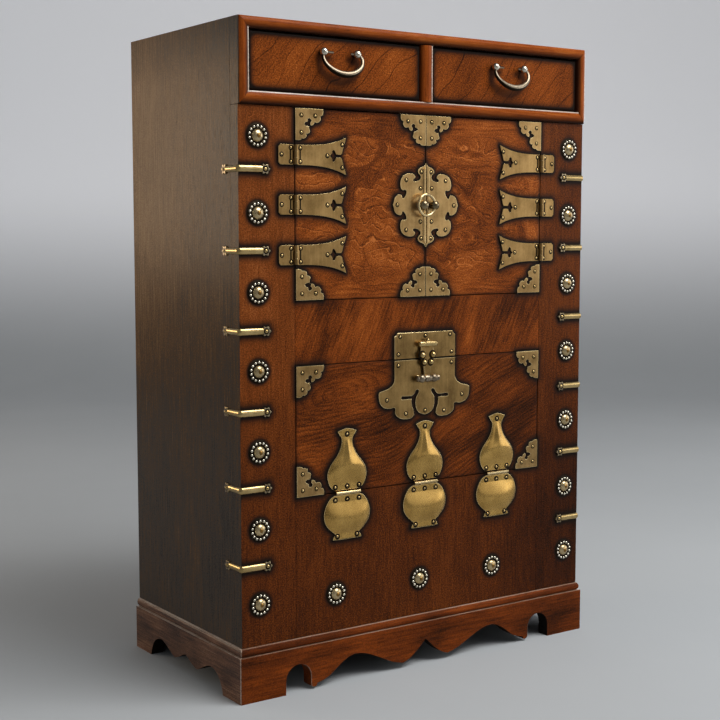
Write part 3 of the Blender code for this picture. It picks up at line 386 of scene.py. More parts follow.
class Graph:
    """A material and its nodes."""

    def __init__(self, name, roughness, metallic=0.0, specular=0.5):
        self.material = bpy.data.materials.new(name)
        self.material.use_nodes = True
        self.tree = self.material.node_tree
        self.shader = self.tree.nodes["Principled BSDF"]
        self.shader.inputs["Roughness"].default_value = roughness
        self.shader.inputs["Metallic"].default_value = metallic
        self.shader.inputs["Specular IOR Level"].default_value = specular

    def put(self, socket, value):
        """Link a socket, or set its value."""
        if isinstance(value, Signal):
            self.tree.links.new(value.socket, socket)
        else:
            socket.default_value = value

    def node(self, kind, **inputs):
        """A node with some of its inputs filled."""
        node = self.tree.nodes.new(kind)
        for name, value in inputs.items():
            self.put(node.inputs[name.replace("_", " ")], value)
        return node

    def out(self, node, socket=0):
        """What a node gives."""
        return Signal(self, node.outputs[socket])

    def position(self):
        """Where a point is at rest, in the row frame."""
        return self.out(self.node("ShaderNodeTexCoord"), "Object")

    def split(self, vector):
        """A vector's three numbers."""
        node = self.node("ShaderNodeSeparateXYZ", Vector=vector)
        return [self.out(node, axis) for axis in "XYZ"]

    def join(self, x, y, z):
        """A vector from three numbers."""
        return self.out(self.node("ShaderNodeCombineXYZ", X=x, Y=y, Z=z))

    def math(self, operation, *values):
        """A number from the Math node."""
        node = self.node("ShaderNodeMath")
        node.operation = operation
        for socket, value in zip(node.inputs, values):
            self.put(socket, value)
        return self.out(node)

    def noise(self, vector, scale=1.0, detail=3.0, roughness=0.55, distortion=0.0):
        """Noise from 0 to 1 about a half; a scale of three numbers is one for each axis."""
        if isinstance(scale, tuple):
            stretch = self.node("ShaderNodeVectorMath")
            stretch.operation = "MULTIPLY"
            self.put(stretch.inputs[0], vector)
            self.put(stretch.inputs[1], scale)
            vector = self.out(stretch)
            scale = 1.0
        return self.out(self.node("ShaderNodeTexNoise", Vector=vector, Scale=scale, Detail=detail,
                                  Roughness=roughness, Distortion=distortion))

    def range(self, value, low, high, to_low=0.0, to_high=1.0):
        """A value eased from one range into another."""
        node = self.node("ShaderNodeMapRange", Value=value, From_Min=low, From_Max=high, To_Min=to_low,
                         To_Max=to_high)
        node.interpolation_type = "SMOOTHSTEP"
        return self.out(node)

    def ramp(self, value, places, colours):
        """Colours along a value."""
        node = self.node("ShaderNodeValToRGB", Fac=value)
        points = node.color_ramp.elements
        while len(points) < len(places):
            points.new(0.5)
        for point, place, colour in zip(points, places, colours):
            point.position = place
            point.color = (*colour, 1.0)
        return self.out(node)

    def mix(self, share, first, second):
        """One colour over another."""
        node = self.node("ShaderNodeMix")
        node.data_type = "RGBA"
        self.put(node.inputs[0], share)
        for socket, value in ((node.inputs[6], first), (node.inputs[7], second)):
            self.put(socket, value if isinstance(value, Signal) else (*value, 1.0))
        return self.out(node, 2)

    def attribute(self, name):
        """A number stored on the mesh."""
        node = self.node("ShaderNodeAttribute")
        node.attribute_name = name
        return self.out(node, "Fac")

    def finish(self, colour, roughness=None, height=None, depth=0.0):
        """Wire the shader up."""
        self.put(self.shader.inputs["Base Color"], colour)
        if roughness is not None:
            self.put(self.shader.inputs["Roughness"], roughness)
        if height is not None:
            bump = self.node("ShaderNodeBump", Height=height, Distance=depth, Strength=1.0)
            self.put(self.shader.inputs["Normal"], self.out(bump))
        return self.material


def straight(axis, spacing, sway=0.010):
    """Grain along an axis: a ring phase, coordinates whose third runs along the grain, and no pale lines."""
    def figure(g):
        x, y, z = g.split(g.position())
        order = {"X": (y, z, x), "Y": (x, z, y), "Z": (x, y, z)}[axis]
        grain = g.join(*order)
        drift = g.noise(grain, (9.0, 9.0, 1.6), detail=2.0)
        return (order[0] + order[1] + drift * (sway * 4)) / spacing, grain, 0.0
    return figure


def slanted(turn, spacing, sway):
    """Grain that crosses a panel on a slant, with wandering lines."""
    def figure(g):
        x, y, z = g.split(g.position())
        c, s = cos(turn), sin(turn)
        along = x * c + z * s
        across = x * -s + z * c
        grain = g.join(across, y, along)
        drift = g.noise(grain, (7.0, 7.0, 5.0), detail=2.5)
        return (across + drift * sway) / spacing, grain, 0.0
    return figure


def cathedral(x0, z0, spacing):
    """Flat-sawn grain along X: ovals round one point that run out into rising lines."""
    def figure(g):
        x, y, z = g.split(g.position())
        level = z + g.range(x, x0 + 0.06, x0 + 0.20, 0.10, 0.40) * ((x - x0) * -1.0)
        grain = g.join(level, y, x)
        drift = g.noise(grain, (16.0, 16.0, 6.0))
        sway = (drift - 0.5) * 0.040
        deep = g.math("TANH", (x - x0) * 9.0) * 0.046
        rise = level - z0 + sway
        return g.math("SQRT", deep * deep + rise * rise) / spacing, grain, 0.0
    return figure


def burl(low, high):
    """Swirling grain between two heights, level grain above and below, and a few pale wandering lines."""
    def figure(g):
        x, y, z = g.split(g.position())
        bend = g.noise(g.position(), (10.0, 10.0, 11.0), detail=2.0, distortion=0.6)
        spot = g.join(x * 5.5 + 3.7, y * 5.5, z * 7.0)
        swirl = g.noise(spot, detail=2.5, roughness=0.5, distortion=1.5)
        level = z * 150.0 + bend * 4.0
        inside = g.range(z, low, low + 0.03) * g.range(z, high, high - 0.03)
        phase = level * (1.0 + inside * -0.9) + swirl * inside * 84.0
        warp = (swirl - 0.5) * (inside * 0.5)
        grain = g.join(z + bend * 0.02 + warp, y, x + warp * 0.6)
        jitter = g.noise(g.position(), 70.0, detail=2.0)
        loose = g.noise(g.position(), (8.0, 8.0, 15.0), detail=1.0, distortion=1.4)
        wander = loose * 8.0 + jitter * 0.8
        thread = g.math("FRACT", z * 66.0 + x * 14.0 + wander)
        light = g.range(thread, 0.0, 0.04) * g.range(thread, 0.11, 0.05)
        shadow = g.range(thread, 0.11, 0.17) * g.range(thread, 0.34, 0.20)
        pale = (light + shadow * -0.55) * inside
        return phase, grain, pale
    return figure


def wood(name, figure, tones, places=TONE_PLACES, line=0.20, wave=0.06, fibre=0.30, flame=0.25, mottle=0.35,
         speckle=0.36, squiggle=0.0, roughness=0.36, specular=0.05, base=0.54, late_from=0.72, foot_shade=None,
         dim=None, cap=None, glow=None, with_glaze_and_shade=True, depth=0.00012, run=22.0):
    """Lacquered wood: rings with a hard dark edge, flames, fibres, pores, and a dark glaze with painted
    shade near the fittings and edges.

    It can paint shade that deepens towards its foot, away from a place along X (dim) and towards its top
    (cap), and paint a sheen high up towards the back (glow).
    """
    g = Graph(name, roughness, specular=specular)
    phase, grain, pale = figure(g)
    x, y, z = g.split(g.position())
    ring = g.math("FRACT", phase)
    faint = g.range(g.noise(grain, (28.0, 28.0, 6.0), detail=2.0), 0.30, 0.62, 0.20, 1.0)
    late = (g.range(ring, late_from, 0.94) + g.range(ring, 0.94, 1.0, 0.0, -1.0)) * faint
    ripple = g.math("SINE", phase * (2 * pi))
    fibres = g.noise(grain, (420.0, 420.0, run), detail=4.0, roughness=0.65)
    flames = g.noise(grain, (75.0, 75.0, 20.0), roughness=0.6)
    clouds = g.noise(grain, (18.0, 18.0, 8.0), detail=2.0)
    grit = g.noise(g.position(), 560.0, detail=2.0, roughness=0.85)
    pores = g.range(g.noise(grain, (620.0, 620.0, 60.0), detail=2.0), 0.58, 0.70)
    value = base + late * -line
    for share, amount in ((fibres, fibre), (flames, flame), (clouds, mottle), (grit, speckle)):
        value += (share - 0.5) * (amount * 2)
    value += ripple * faint * wave
    value += pores * -0.12
    if squiggle:
        value += pale * g.range(clouds, 0.34, 0.50) * squiggle
    if foot_shade:
        foot, head, amount = foot_shade
        value += g.range(z, foot, head, -amount, 0.0)
    if dim:
        middle_x, near, far, amount = dim
        value += g.range(g.math("ABSOLUTE", x - middle_x), near, far, 0.0, -amount)
    if cap:
        foot, head, amount = cap
        value += g.range(z, foot, head, 0.0, -amount)
    if glow:
        foot, head, near, far, amount = glow
        value += g.range(z, foot, head) * g.range(y, near, far) * amount
    colour = g.ramp(value, places, tones)
    if with_glaze_and_shade:
        # Glaze and painted shade stored on the mesh: round the fittings, along the edges, on hidden sides
        # and under the mouldings
        glaze_and_shade = g.range(g.attribute("glaze_and_shade") + (grit - 0.5) * 0.35, 0.04, 0.92)
        colour = g.mix(glaze_and_shade, colour, GLAZE_AND_SHADE_COLOUR)
    rough = roughness + (fibres - 0.5) * 0.20
    return g.finish(colour, rough, fibres * 0.6 + pores * -0.8, depth)


def brass(name, dark, light, roughness, speckle):
    """Antique satin brass, mottled, with a fine brushed grit."""
    g = Graph(name, roughness, metallic=1.0)
    clouds = g.noise(g.position(), 38.0)
    grit = g.noise(g.position(), (900.0, 900.0, 500.0), detail=2.0, roughness=0.7)
    streaks = g.noise(g.position(), (260.0, 260.0, 14.0), roughness=0.6)
    value = g.range(clouds, 0.10, 0.90) + (grit - 0.5) * (speckle * 2)
    value += (streaks - 0.5) * (speckle * 2.4)
    colour = g.mix(value, dark, light)
    rough = roughness + (grit - 0.5) * 0.16
    return g.finish(colour, rough, grit, 0.00003)


def make_looks():
    """Every material of the chest."""
    moulding = dict(line=0.06, wave=0.03, speckle=0.24, mottle=0.20, roughness=0.26, base=0.57)
    board = dict(line=0.05, wave=0.02, fibre=0.40, flame=0.10, mottle=0.14, speckle=0.50, roughness=0.24,
                 base=0.42, with_glaze_and_shade=False, depth=0.00008, run=14.0)
    plain = dict(line=0.05, with_glaze_and_shade=False)
    # In these looks dim, cap and the shade towards a foot paint shade, and glow paints a sheen
    looks = {
        "door": wood(
            "door_wood", burl(0.560, 0.775), FRONT_TONES, line=0.08, wave=0.06, squiggle=0.33, mottle=0.46,
            speckle=0.80, base=0.58, cap=(0.762, 0.780, 0.06)),
        "drop": wood(
            "drop_wood", cathedral(-0.146, 0.410, 0.0062), FRONT_TONES, line=0.13, wave=0.045, flame=0.18,
            mottle=0.42, speckle=0.70, base=0.42, dim=(-0.15, 0.12, 0.30, 0.12)),
        "rail": wood(
            "rail_wood", slanted(radians(66), 0.007, 0.030), FRONT_TONES, line=0.05, wave=0.03, flame=0.35,
            mottle=0.40, speckle=0.66, base=0.47, dim=(-0.06, 0.10, 0.26, 0.14)),
        "drawer": wood(
            "drawer_wood", slanted(radians(50), 0.027, 0.125), FRONT_TONES, line=0.44, wave=0.02, fibre=0.20,
            mottle=0.30, flame=0.14, speckle=0.80, specular=0.03, base=0.54, late_from=0.92),
        # The stile look is painted darker towards its foot and on the right-hand stile, as shade
        "stile": wood(
            "stile_wood", straight("Z", 0.009, 0.030), DEEP_TONES, line=0.03, wave=0.015, fibre=0.26,
            mottle=0.16, flame=0.12, speckle=0.78, base=0.66, foot_shade=(0.20, 0.52, 0.26),
            dim=(-0.30, 0.38, 0.57, 0.20)),
        "frame_x": wood("frame_wood_level", straight("X", 0.006), FRAME_TONES, specular=0.038, **moulding),
        "frame_z": wood("frame_wood_upright", straight("Z", 0.006), FRAME_TONES, specular=0.045, **moulding),
        "plinth": wood(
            "plinth_wood", straight("X", 0.010, 0.030), FRAME_TONES, line=0.05, wave=0.02, speckle=0.34,
            flame=0.16, mottle=0.50, specular=0.05, base=0.335, dim=(-0.30, 0.30, 0.60, 0.08)),
        # The side look is painted darker towards its foot and top as shade, with a painted sheen high up
        # towards the back
        "side_z": wood(
            "side_wood_upright", straight("Z", 0.007), SIDE_TONES, SIDE_PLACES, specular=0.065,
            foot_shade=(0.16, 0.50, 0.11), glow=(0.36, 0.68, -0.24, 0.15, 0.40), cap=(0.82, 0.90, 0.19), **board),
        "side_x": wood(
            "side_wood_level", straight("X", 0.007), SIDE_TONES, SIDE_PLACES, specular=0.05, **board),
        "side_y": wood(
            "side_wood_deep", straight("Y", 0.007), FOOT_TONES, line=0.05, wave=0.02, fibre=0.40, flame=0.20,
            mottle=0.42, speckle=0.40, specular=0.08, roughness=0.24, with_glaze_and_shade=False, base=0.48, run=14.0),
        # Pale look for painted highlight lines
        "highlight_wood": wood(
            "highlight_wood", straight("X", 0.006), HIGHLIGHT_TONES, specular=0.5, roughness=0.2, **plain),
        "wear_and_highlight_wood": wood(
            "wear_and_highlight_wood", straight("X", 0.006), WEAR_AND_HIGHLIGHT_TONES, specular=0.3, roughness=0.25, **plain),
        # Near-black look that paints shade
        "under_shade": wood("under_shade_wood", straight("X", 0.014), UNDER_SHADE_TONES, roughness=0.7, **plain),
        "inner": wood(
            "inner_wood", straight("X", 0.014), INNER_TONES, line=0.14, speckle=0.10, mottle=0.20,
            flame=0.12, roughness=0.6, with_glaze_and_shade=False),
    }
    for name, row in BRASS.items():
        looks[name] = brass(*row)
    return looks


def at(x, z, out=0.0):
    """A frame on the case front: X along the front, Y up it, Z out of it."""
    return Matrix.Translation((x, FRONT_Y - out, z)) @ Matrix.Rotation(pi / 2, 4, "X")


def across(x, out, z):
    """A frame on the case front whose Z runs along the front."""
    return at(x, z, out) @ Matrix.Rotation(pi / 2, 4, "Y")


def middle(node):
    """The middle of a CAD node's box."""
    low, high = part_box(node)
    return (low + high) / 2


def add_object(name, bm, body, looks, smooth=SMOOTH_ANGLE):
    """A finished piece from a bmesh, riding a body."""
    bmesh.ops.recalc_face_normals(bm, faces=bm.faces)
    mesh = bpy.data.meshes.new(name)
    bm.to_mesh(mesh)
    bm.free()
    for look in looks:
        mesh.materials.append(LOOK[look])
    mesh.shade_smooth()
    mesh.set_sharp_from_angle(angle=radians(smooth))
    piece = bpy.data.objects.new(name, mesh)
    piece.modifiers.new("normals", "WEIGHTED_NORMAL").keep_sharp = True
    bpy.context.scene.collection.objects.link(piece)
    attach(piece, body)
    return piece


def dressed(node, bm, looks=BRASS_LOOKS, smooth=SMOOTH_ANGLE):
    """A piece built here, standing for a CAD node."""
    piece = add_object(f"{node}_dressed", bm, frame["nodes"][node]["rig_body"], looks, smooth)
    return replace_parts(piece, node)


def turns(count, shift=0.0):
    """Angles spread evenly round a circle."""
    return [2 * pi * (step + shift) / count for step in range(count)]


def skin(bm, first, second, look=0, closed=False):
    """The faces between two lines of points."""
    count = len(first)
    faces = []
    for step in range(count if closed else count - 1):
        after = (step + 1) % count
        face = bm.faces.new((first[step], first[after], second[after], second[step]))
        face.material_index = look
        faces.append(face)
    return faces


def lathe(bm, place, profile, segments, look):
    """A turned shape from (radius, height) points; a radius of 0 closes an end."""
    rings = []
    for radius, height in profile:
        angles = turns(segments if radius else 1)
        spots = [(radius * cos(angle), radius * sin(angle), height) for angle in angles]
        rings.append([bm.verts.new(place @ Vector(spot)) for spot in spots])
    for first, second in zip(rings, rings[1:]):
        for step in range(segments):
            pair = (step, (step + 1) % segments)
            corners = [first[n % len(first)] for n in pair]
            corners += [second[n % len(second)] for n in reversed(pair)]
            bm.faces.new(dict.fromkeys(corners)).material_index = look


def tube(bm, path, look=0, closed=False, flat=1.0, segments=14, under_shade=None):
    """A bent rod from points and radii, flattened towards the front; its last argument gives its lower side
    a look that paints shade there.
    """
    count = len(path)
    rings = []
    for step, (point, radius) in enumerate(path):
        before = path[step - 1][0] if step or closed else point
        after = path[(step + 1) % count][0] if step < count - 1 or closed else point
        run = (after - before).normalized()
        out = (Vector((0.0, -1.0, 0.0)) + run * run.y).normalized()
        side = run.cross(out)
        ring = [point + side * radius * cos(a) + out * radius * flat * sin(a) for a in turns(segments)]
        rings.append([bm.verts.new(spot) for spot in ring])
    for first, second in zip(rings, rings[1:] + rings[:1] if closed else rings[1:]):
        faces = skin(bm, first, second, look, closed=True)
        for face, angle in zip(faces, turns(segments, 0.5)):
            if under_shade is not None and cos(angle) > 0.1:
                face.material_index = under_shade
    if not closed:
        bm.faces.new(rings[0])
        bm.faces.new(rings[-1])


def ball(bm, centre, radius, look):
    """A round ball on the front, open at the back."""
    angles = [pi * 0.8 * step / 7 for step in range(8)]
    place = Matrix.Translation(centre) @ Matrix.Rotation(pi / 2, 4, "X")
    lathe(bm, place, [(radius * sin(angle), radius * cos(angle)) for angle in angles], 14, look)


def block(bm, place, low, high, look=0):
    """A block between two corners."""
    ends = (low, high)
    corners = [bm.verts.new(place @ Vector((ends[a][0], ends[b][1], ends[c][2])))
               for a in (0, 1) for b in (0, 1) for c in (0, 1)]
    for ring in ((0, 1, 3, 2), (4, 6, 7, 5), (0, 4, 5, 1), (2, 3, 7, 6), (0, 2, 6, 4), (1, 5, 7, 3)):
        bm.faces.new([corners[n] for n in ring]).material_index = look


def plate(bm, place, outline, low, high, look=PLATE, rim=BRIGHT):
    """A flat plate of any outline, with eased edges in a rim look that shows wear and a painted highlight.
    """
    points = [Vector(point) for point in outline]
    turn = sum(a.cross(b) for a, b in zip(points, points[1:] + points[:1]))
    inward = []
    for before, after in zip(points[-1:] + points[:-1], points[1:] + points[:1]):
        run = (after - before).normalized() * (1.0 if turn > 0 else -1.0)
        inward.append(Vector((-run.y, run.x)))
    rings = []
    for ease, height in ((0.0, low), (0.0, high - PLATE_EASE), (0.3, high - 0.3 * PLATE_EASE), (1.0, high)):
        spots = [point + side * ease * PLATE_EASE for point, side in zip(points, inward)]
        rings.append([bm.verts.new(place @ Vector((*spot, height))) for spot in spots])
    for ring in (rings[0], rings[-1]):
        bm.faces.new(ring).material_index = look
    for first, second in zip(rings, rings[1:]):
        skin(bm, first, second, rim, closed=True)


def smooth_run(points, steps):
    """Points on the smooth curve that passes through the given ones."""
    ends = [points[0], *points, points[-1]]
    run = []
    for a, b, c, d in zip(ends, ends[1:], ends[2:], ends[3:]):
        for step in range(steps):
            t = step / steps
            weights = ((-t + 2 * t**2 - t**3) / 2, (2 - 5 * t**2 + 3 * t**3) / 2,
                       (t + 4 * t**2 - 3 * t**3) / 2, (t**3 - t**2) / 2)
            run.append(tuple(sum(w * n for w, n in zip(weights, values)) for values in zip(a, b, c, d)))
    run.append(tuple(points[-1]))
    return run


def mirrored(half):
    """A whole outline or path from one half of it, listed from end to end."""
    return [*half, *((-x, *rest) for x, *rest in reversed(half) if x)]


def both_ends(half):
    """A whole turned profile from one half of it."""
    return [*half, *((radius, -height) for radius, height in reversed(half) if height)]


def both_sides(spots):
    """Places to the right of the middle, each followed by its twin on the left."""
    return [(side * x, *rest) for x, *rest in spots for side in ((1, -1) if x else (1,))]


def nail(bm, place, size=1.0, ring=NAIL_RING):
    """A domed nail in a dark ring."""
    r = NAIL_R * size
    h = NAIL_H * size
    lathe(bm, place, [(wide * r, tall * h) for wide, tall in NAIL_DOME], 12, STRAP)
    lathe(bm, place, ((0.0, CLEAR), (ring * r, CLEAR), ((ring + 0.15) * r, -CLEAR)), 14, PATINA_AND_SHADE)


def corner_plates(bm, node):
    """A cut corner plate at each corner of a panel."""
    low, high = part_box(node)
    edge = [(0.0, 0.0)]
    for stretch in (CORNER_LOBE_1, CORNER_NOTCH, CORNER_LOBE_2):
        edge += smooth_run(stretch, 3)
    for x, right in ((low.x, 1), (high.x, -1)):
        for z, down in ((high.z, 1), (low.z, -1)):
            plate(bm, at(x, z), [(right * a, -down * b) for a, b in edge], CLEAR, CLEAR + PLATE_T)
            for a, b in CORNER_NAILS:
                nail(bm, at(x + right * a, z - down * b, PLATE_T))


def gourd_leaf(bm, x, direction, rows, span, ridge):
    """A gourd leaf from its pin: a flat plate with a raised field over a span and a ridge on its neck."""
    edge = smooth_run(rows, 4)
    outline = mirrored([(half, direction * along) for along, half in edge])
    plate(bm, at(x, DROP_Z), outline, CLEAR, LEAF_FACE, GOURD)
    shares = [step / FIELD_STEPS - 1.0 for step in range(2 * FIELD_STEPS + 1)]
    lines = []
    for along, half in edge:
        if not span[0] <= along <= span[1]:
            continue
        foot = min(1.0, (along - span[0]) / FIELD_FOOT)
        head = min(1.0, (span[1] - along) / FIELD_HEAD)
        swell = sin(foot * pi / 2) * sin(head * pi / 2)
        height = FIELD_H * swell * min(1.0, half / FIELD_FULL)
        crest = ridge * min(1.0, max(0.0, (along - RIDGE_FROM) / RIDGE_RUN)) * head
        line = []
        for share in shares:
            rise = height * (1 - share**2) ** 0.65 + crest * max(0.0, 1 - abs(share) * 2.2)
            spot = at(x + (half - PLATE_EASE) * share, DROP_Z + direction * along, LEAF_FACE - CLEAR + rise)
            line.append(bm.verts.new(spot.translation))
        lines.append(line)
    for first, second in zip(lines, lines[1:]):
        skin(bm, first, second, GOURD)


def stud(bm, x, z):
    """A domed stud with a nub, in a dark dish with a ring of beads."""
    place = at(x, z)
    lathe(bm, place, STUD_DISH, 32, PATINA_AND_SHADE)
    lathe(bm, place, STUD_DOME, 28, DOME)
    lathe(bm, place, STUD_NUB, 14, NUB)
    for angle in turns(STUD_BEADS, 0.5):
        centre = place @ Vector((BEAD_RING_R * cos(angle), BEAD_RING_R * sin(angle), BEAD_OUT))
        ball(bm, centre, BEAD_R, BEAD)


def flower(bm, place):
    """A nailed six-lobed end of a strap."""
    outline = []
    for angle in turns(8 * FLOWER_LOBES):
        radius = FLOWER_R + FLOWER_WAVE * cos(FLOWER_LOBES * angle)
        outline.append((radius * cos(angle), radius * sin(angle)))
    plate(bm, place, outline, CLEAR, FLOWER_T, BAIL, DOME)
    nail(bm, place @ Matrix.Translation((0.0, 0.0, FLOWER_T - CLEAR)), FLOWER_NAIL)


def strap(bm, side, z):
    """A half-round strap round a front corner of the case, with a flower at each end."""
    edge = CASE_HALF - STRAP_BEND
    route = [(STRAP_END + along, FRONT_Y, 0.0, -1.0, share) for along, share in STRAP_FRONT_RUN]
    route.append((edge, FRONT_Y, 0.0, -1.0, 1.0))
    for angle in (pi / 2 * step / 6 for step in range(1, 6)):
        y = FRONT_Y + STRAP_BEND - STRAP_BEND * cos(angle)
        route.append((edge + STRAP_BEND * sin(angle), y, sin(angle), -cos(angle), 1.0))
    route += [(CASE_HALF, FRONT_Y + along, 1.0, 0.0, share) for along, share in STRAP_SIDE_RUN]
    section = [(sin(a), cos(a)) for a in (pi * step / 10 for step in range(11))]
    rings = []
    for x, y, out_x, out_y, share in route:
        rise = STRAP_PROUD * (0.35 + 0.65 * min(1.0, share))
        half = STRAP_H / 2 * share
        rings.append([bm.verts.new((side * (x + out_x * rise * out), y + out_y * rise * out, z + half * up))
                      for out, up in section])
    for first, second in zip(rings, rings[1:]):
        skin(bm, first, second, STRAP)
    bm.faces.new(rings[0])
    bm.faces.new(rings[-1])
    flower(bm, at(side * (STRAP_END - FLOWER_REACH), z))
    turn = Matrix.Rotation(side * pi / 2, 4, "Z") @ Matrix.Rotation(pi / 2, 4, "X")
    flower(bm, Matrix.Translation((side * CASE_HALF, FRONT_Y + STRAP_BACK, z)) @ turn)


def refined(node, look, ease, rim_look=None, zones=(), shade=None):
    """A CAD node's own shape with its sharp edges eased, standing for the node.

    The next look is that of those edges, which paints a highlight on them, on the brass together with wear;
    each zone gives a look to the faces that pass its test, and shade gives the painted shade at a point.
    """
    bm = bmesh.new()
    bm.from_mesh(frame["nodes"][node].data)
    bmesh.ops.remove_doubles(bm, verts=bm.verts, dist=2e-6)
    bmesh.ops.dissolve_limit(bm, angle_limit=radians(0.5), verts=bm.verts, edges=bm.edges)
    bm.normal_update()
    for face in bm.faces:
        face.material_index = 0
        for number, (_, test) in enumerate(zones):
            if test(face.normal, face.calc_center_median()):
                face.material_index = 2 + number
    if ease:
        sharp = [edge for edge in bm.edges if len(edge.link_faces) == 2
                 and edge.calc_face_angle() > radians(SMOOTH_ANGLE)
                 and not any(face.material_index for face in edge.link_faces)]
        made = bmesh.ops.bevel(
            bm, geom=sharp, offset=ease, segments=2, profile=0.5, affect="EDGES", clamp_overlap=True)
        for face in made["faces"]:
            face.material_index = 1 if rim_look else 0
    if shade:
        glaze_and_shade = bm.verts.layers.float.new("glaze_and_shade")
        for vertex in bm.verts:
            vertex[glaze_and_shade] = shade(vertex.co)
    piece = dressed(node, bm, (look, rim_look or look, *(zone for zone, _ in zones)))
    if zones:
        sides = {}
        for polygon in piece.data.polygons:
            for key in polygon.edge_keys:
                sides.setdefault(key, set()).add(polygon.material_index)
        for edge in piece.data.edges:
            if len(sides[edge.key]) > 1:
                edge.use_edge_sharp = True
    return piece


def spaced(low, high, radius):
    """Places across a panel, close together at its rounded edges."""
    width = high - low - 2 * radius
    count = max(1, round(width / PANEL_STEP))
    inner = [low + radius + width * n / count for n in range(count + 1)]
    edge = (0.0, 0.12 * radius, 0.45 * radius)
    return [*(low + e for e in edge), *inner, *(high - e for e in reversed(edge))]


def inside(x, z, low, high, corner):
    """Distance in from a rectangle's edge, with round corners."""
    over_x = max(low.x + corner - x, x - high.x + corner)
    over_z = max(low.z + corner - z, z - high.z + corner)
    if over_x > 0 and over_z > 0:
        return corner - hypot(over_x, over_z)
    return min(x - low.x, high.x - x, z - low.z, high.z - z)


def panel(node, looks, near, edge, radius=0.0012, slope=(0.0, 0.0), corner=0.003, lip=None, box=None):
    """A wooden front panel with rounded edges, darkened near its edges and the fittings by glaze and painted
    shade.

    Edge is the reach and amount of the glaze and painted shade along its edges, slope is how far its back
    draws in on the left and on the right, and lip is a block behind it.
    """
    low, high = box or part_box(node)
    edge_reach, edge_amount = edge
    bm = bmesh.new()
    glaze_and_shade = bm.verts.layers.float.new("glaze_and_shade")
    grid = []
    for x in spaced(low.x, high.x, radius):
        line = []
        for z in spaced(low.z, high.z, radius):
            margin = min(x - low.x, high.x - x, z - low.z, high.z - z)
            sink = radius - sqrt(max(0.0, radius**2 - max(0.0, radius - margin) ** 2))
            vertex = bm.verts.new((x, low.y + sink, z))
            clear = 1.0
            for tree, reach, amount in near:
                gap = tree.find_nearest(Vector((x, 0.0, z)))[3]
                clear *= 1 - amount * exp(-((gap / reach) ** GLAZE_AND_SHADE_FALL))
            border = edge_amount * exp(-max(0.0, inside(x, z, low, high, corner)) / edge_reach)
            vertex[glaze_and_shade] = 1 - clear * (1 - min(1.0, border))
            line.append(vertex)
        grid.append(line)
    for first, second in zip(grid, grid[1:]):
        skin(bm, first, second)
    rim = [line[0] for line in grid] + grid[-1][1:]
    rim += [line[-1] for line in reversed(grid[:-1])] + grid[0][-2:0:-1]
    back = []
    for vertex in rim:
        x, _, z = vertex.co
        inward = slope[0] * (abs(x - low.x) < 1e-6) - slope[1] * (abs(x - high.x) < 1e-6)
        made = bm.verts.new((x + inward, high.y, z))
        made[glaze_and_shade] = HIDDEN_SIDE_DARK
        back.append(made)
    for face in skin(bm, rim, back, closed=True):
        outer = (face.verts[0].co.x + face.verts[1].co.x) / 2
        if len(looks) > 1 and abs(abs(outer) - CASE_HALF) < 1e-5:
            face.material_index = 1
    bm.faces.new(back)
    if lip:
        block(bm, Matrix(), *lip)
    return dressed(node, bm, looks, 30)


def build_trim():
    """Nails, studs, straps and corner plates, one piece for each body."""
    trim = {name: bmesh.new() for name in ("chest", "left_door", "right_door", "drop_front")}
    studs = bmesh.new()
    groove = (GROOVE_W / 2, GROOVE_H / 2, CLEAR)
    for side, name in ((-1, "left"), (1, "right")):
        door = trim[f"{name}_door"]
        corner_plates(door, f"{name}_door_panel")
        for number in (1, 2, 3):
            z = middle(f"{name}_hinge_{number}_stile_leaf").z
            for out, up in STILE_NAILS:
                nail(trim["chest"], at(side * (PIN_X + out), z + up, LEAF_FACE))
            for out, up in DOOR_NAILS:
                nail(door, at(side * (PIN_X - out), z + up, LEAF_FACE))
            # A dark block beside each pin paints the shade of a groove
            for bm, x in ((trim["chest"], PIN_X + GROOVE_AT), (door, PIN_X - GROOVE_AT)):
                block(bm, at(side * x, z, LEAF_FACE), (-groove[0], -groove[1], -2 * CLEAR), groove, PATINA_AND_SHADE)
        for z in STRAP_Z:
            strap(trim["chest"], side, z)
        for z in STUD_Z:
            stud(studs, side * STUD_X, z)
    for x, z in LOW_STUDS:
        stud(studs, x, z)
    corner_plates(trim["drop_front"], "drop_front_panel")
    for x, z in both_sides(RAIL_NAILS):
        nail(trim["chest"], at(x, z, LEAF_FACE))
    plates = [add_object(f"{name}_trim", bm, name, BRASS_LOOKS) for name, bm in trim.items()]
    return plates, [add_object("front_studs", studs, "chest", BRASS_LOOKS)]


def build_round_lock(name, side):
    """Half of the round lock plate on a door, with its strip along the seam."""
    bm = bmesh.new()
    edge = smooth_run(ROSETTE_EDGE, 2)
    edge += [(x, -z) for x, z in reversed(edge[:-1])]
    plate(bm, at(0.0, ROSETTE_Z), [(side * x, z) for x, z in edge], CLEAR, LEAF_FACE, ROSE)
    for x, z in ROSETTE_NAILS:
        nail(bm, at(side * x, ROSETTE_Z + z, LEAF_FACE))
    strip = [(side * x, z) for x, z in ROSETTE_STRIP]
    plate(bm, at(0.0, ROSETTE_Z), strip, LEAF_FACE - 2 * CLEAR, LEAF_FACE + STRIP_PROUD, ROSE)
    return dressed(f"{name}_lock_plate_half", bm)


def build_drop_lock():
    """The lock plate on the drop front, with its cut slots and nails."""
    bm = bmesh.new()
    half = [LOCK_EDGE[0], *smooth_run(LOCK_EDGE[1:], 3), *smooth_run(LOCK_SLOT, 3)]
    plate(bm, at(0.0, 0.0), mirrored(half), CLEAR, LEAF_FACE, LOCK)
    for x, z in both_sides(LOCK_NAILS):
        nail(bm, at(x, z, LEAF_FACE))
    return dressed("drop_front_lock_plate", bm)


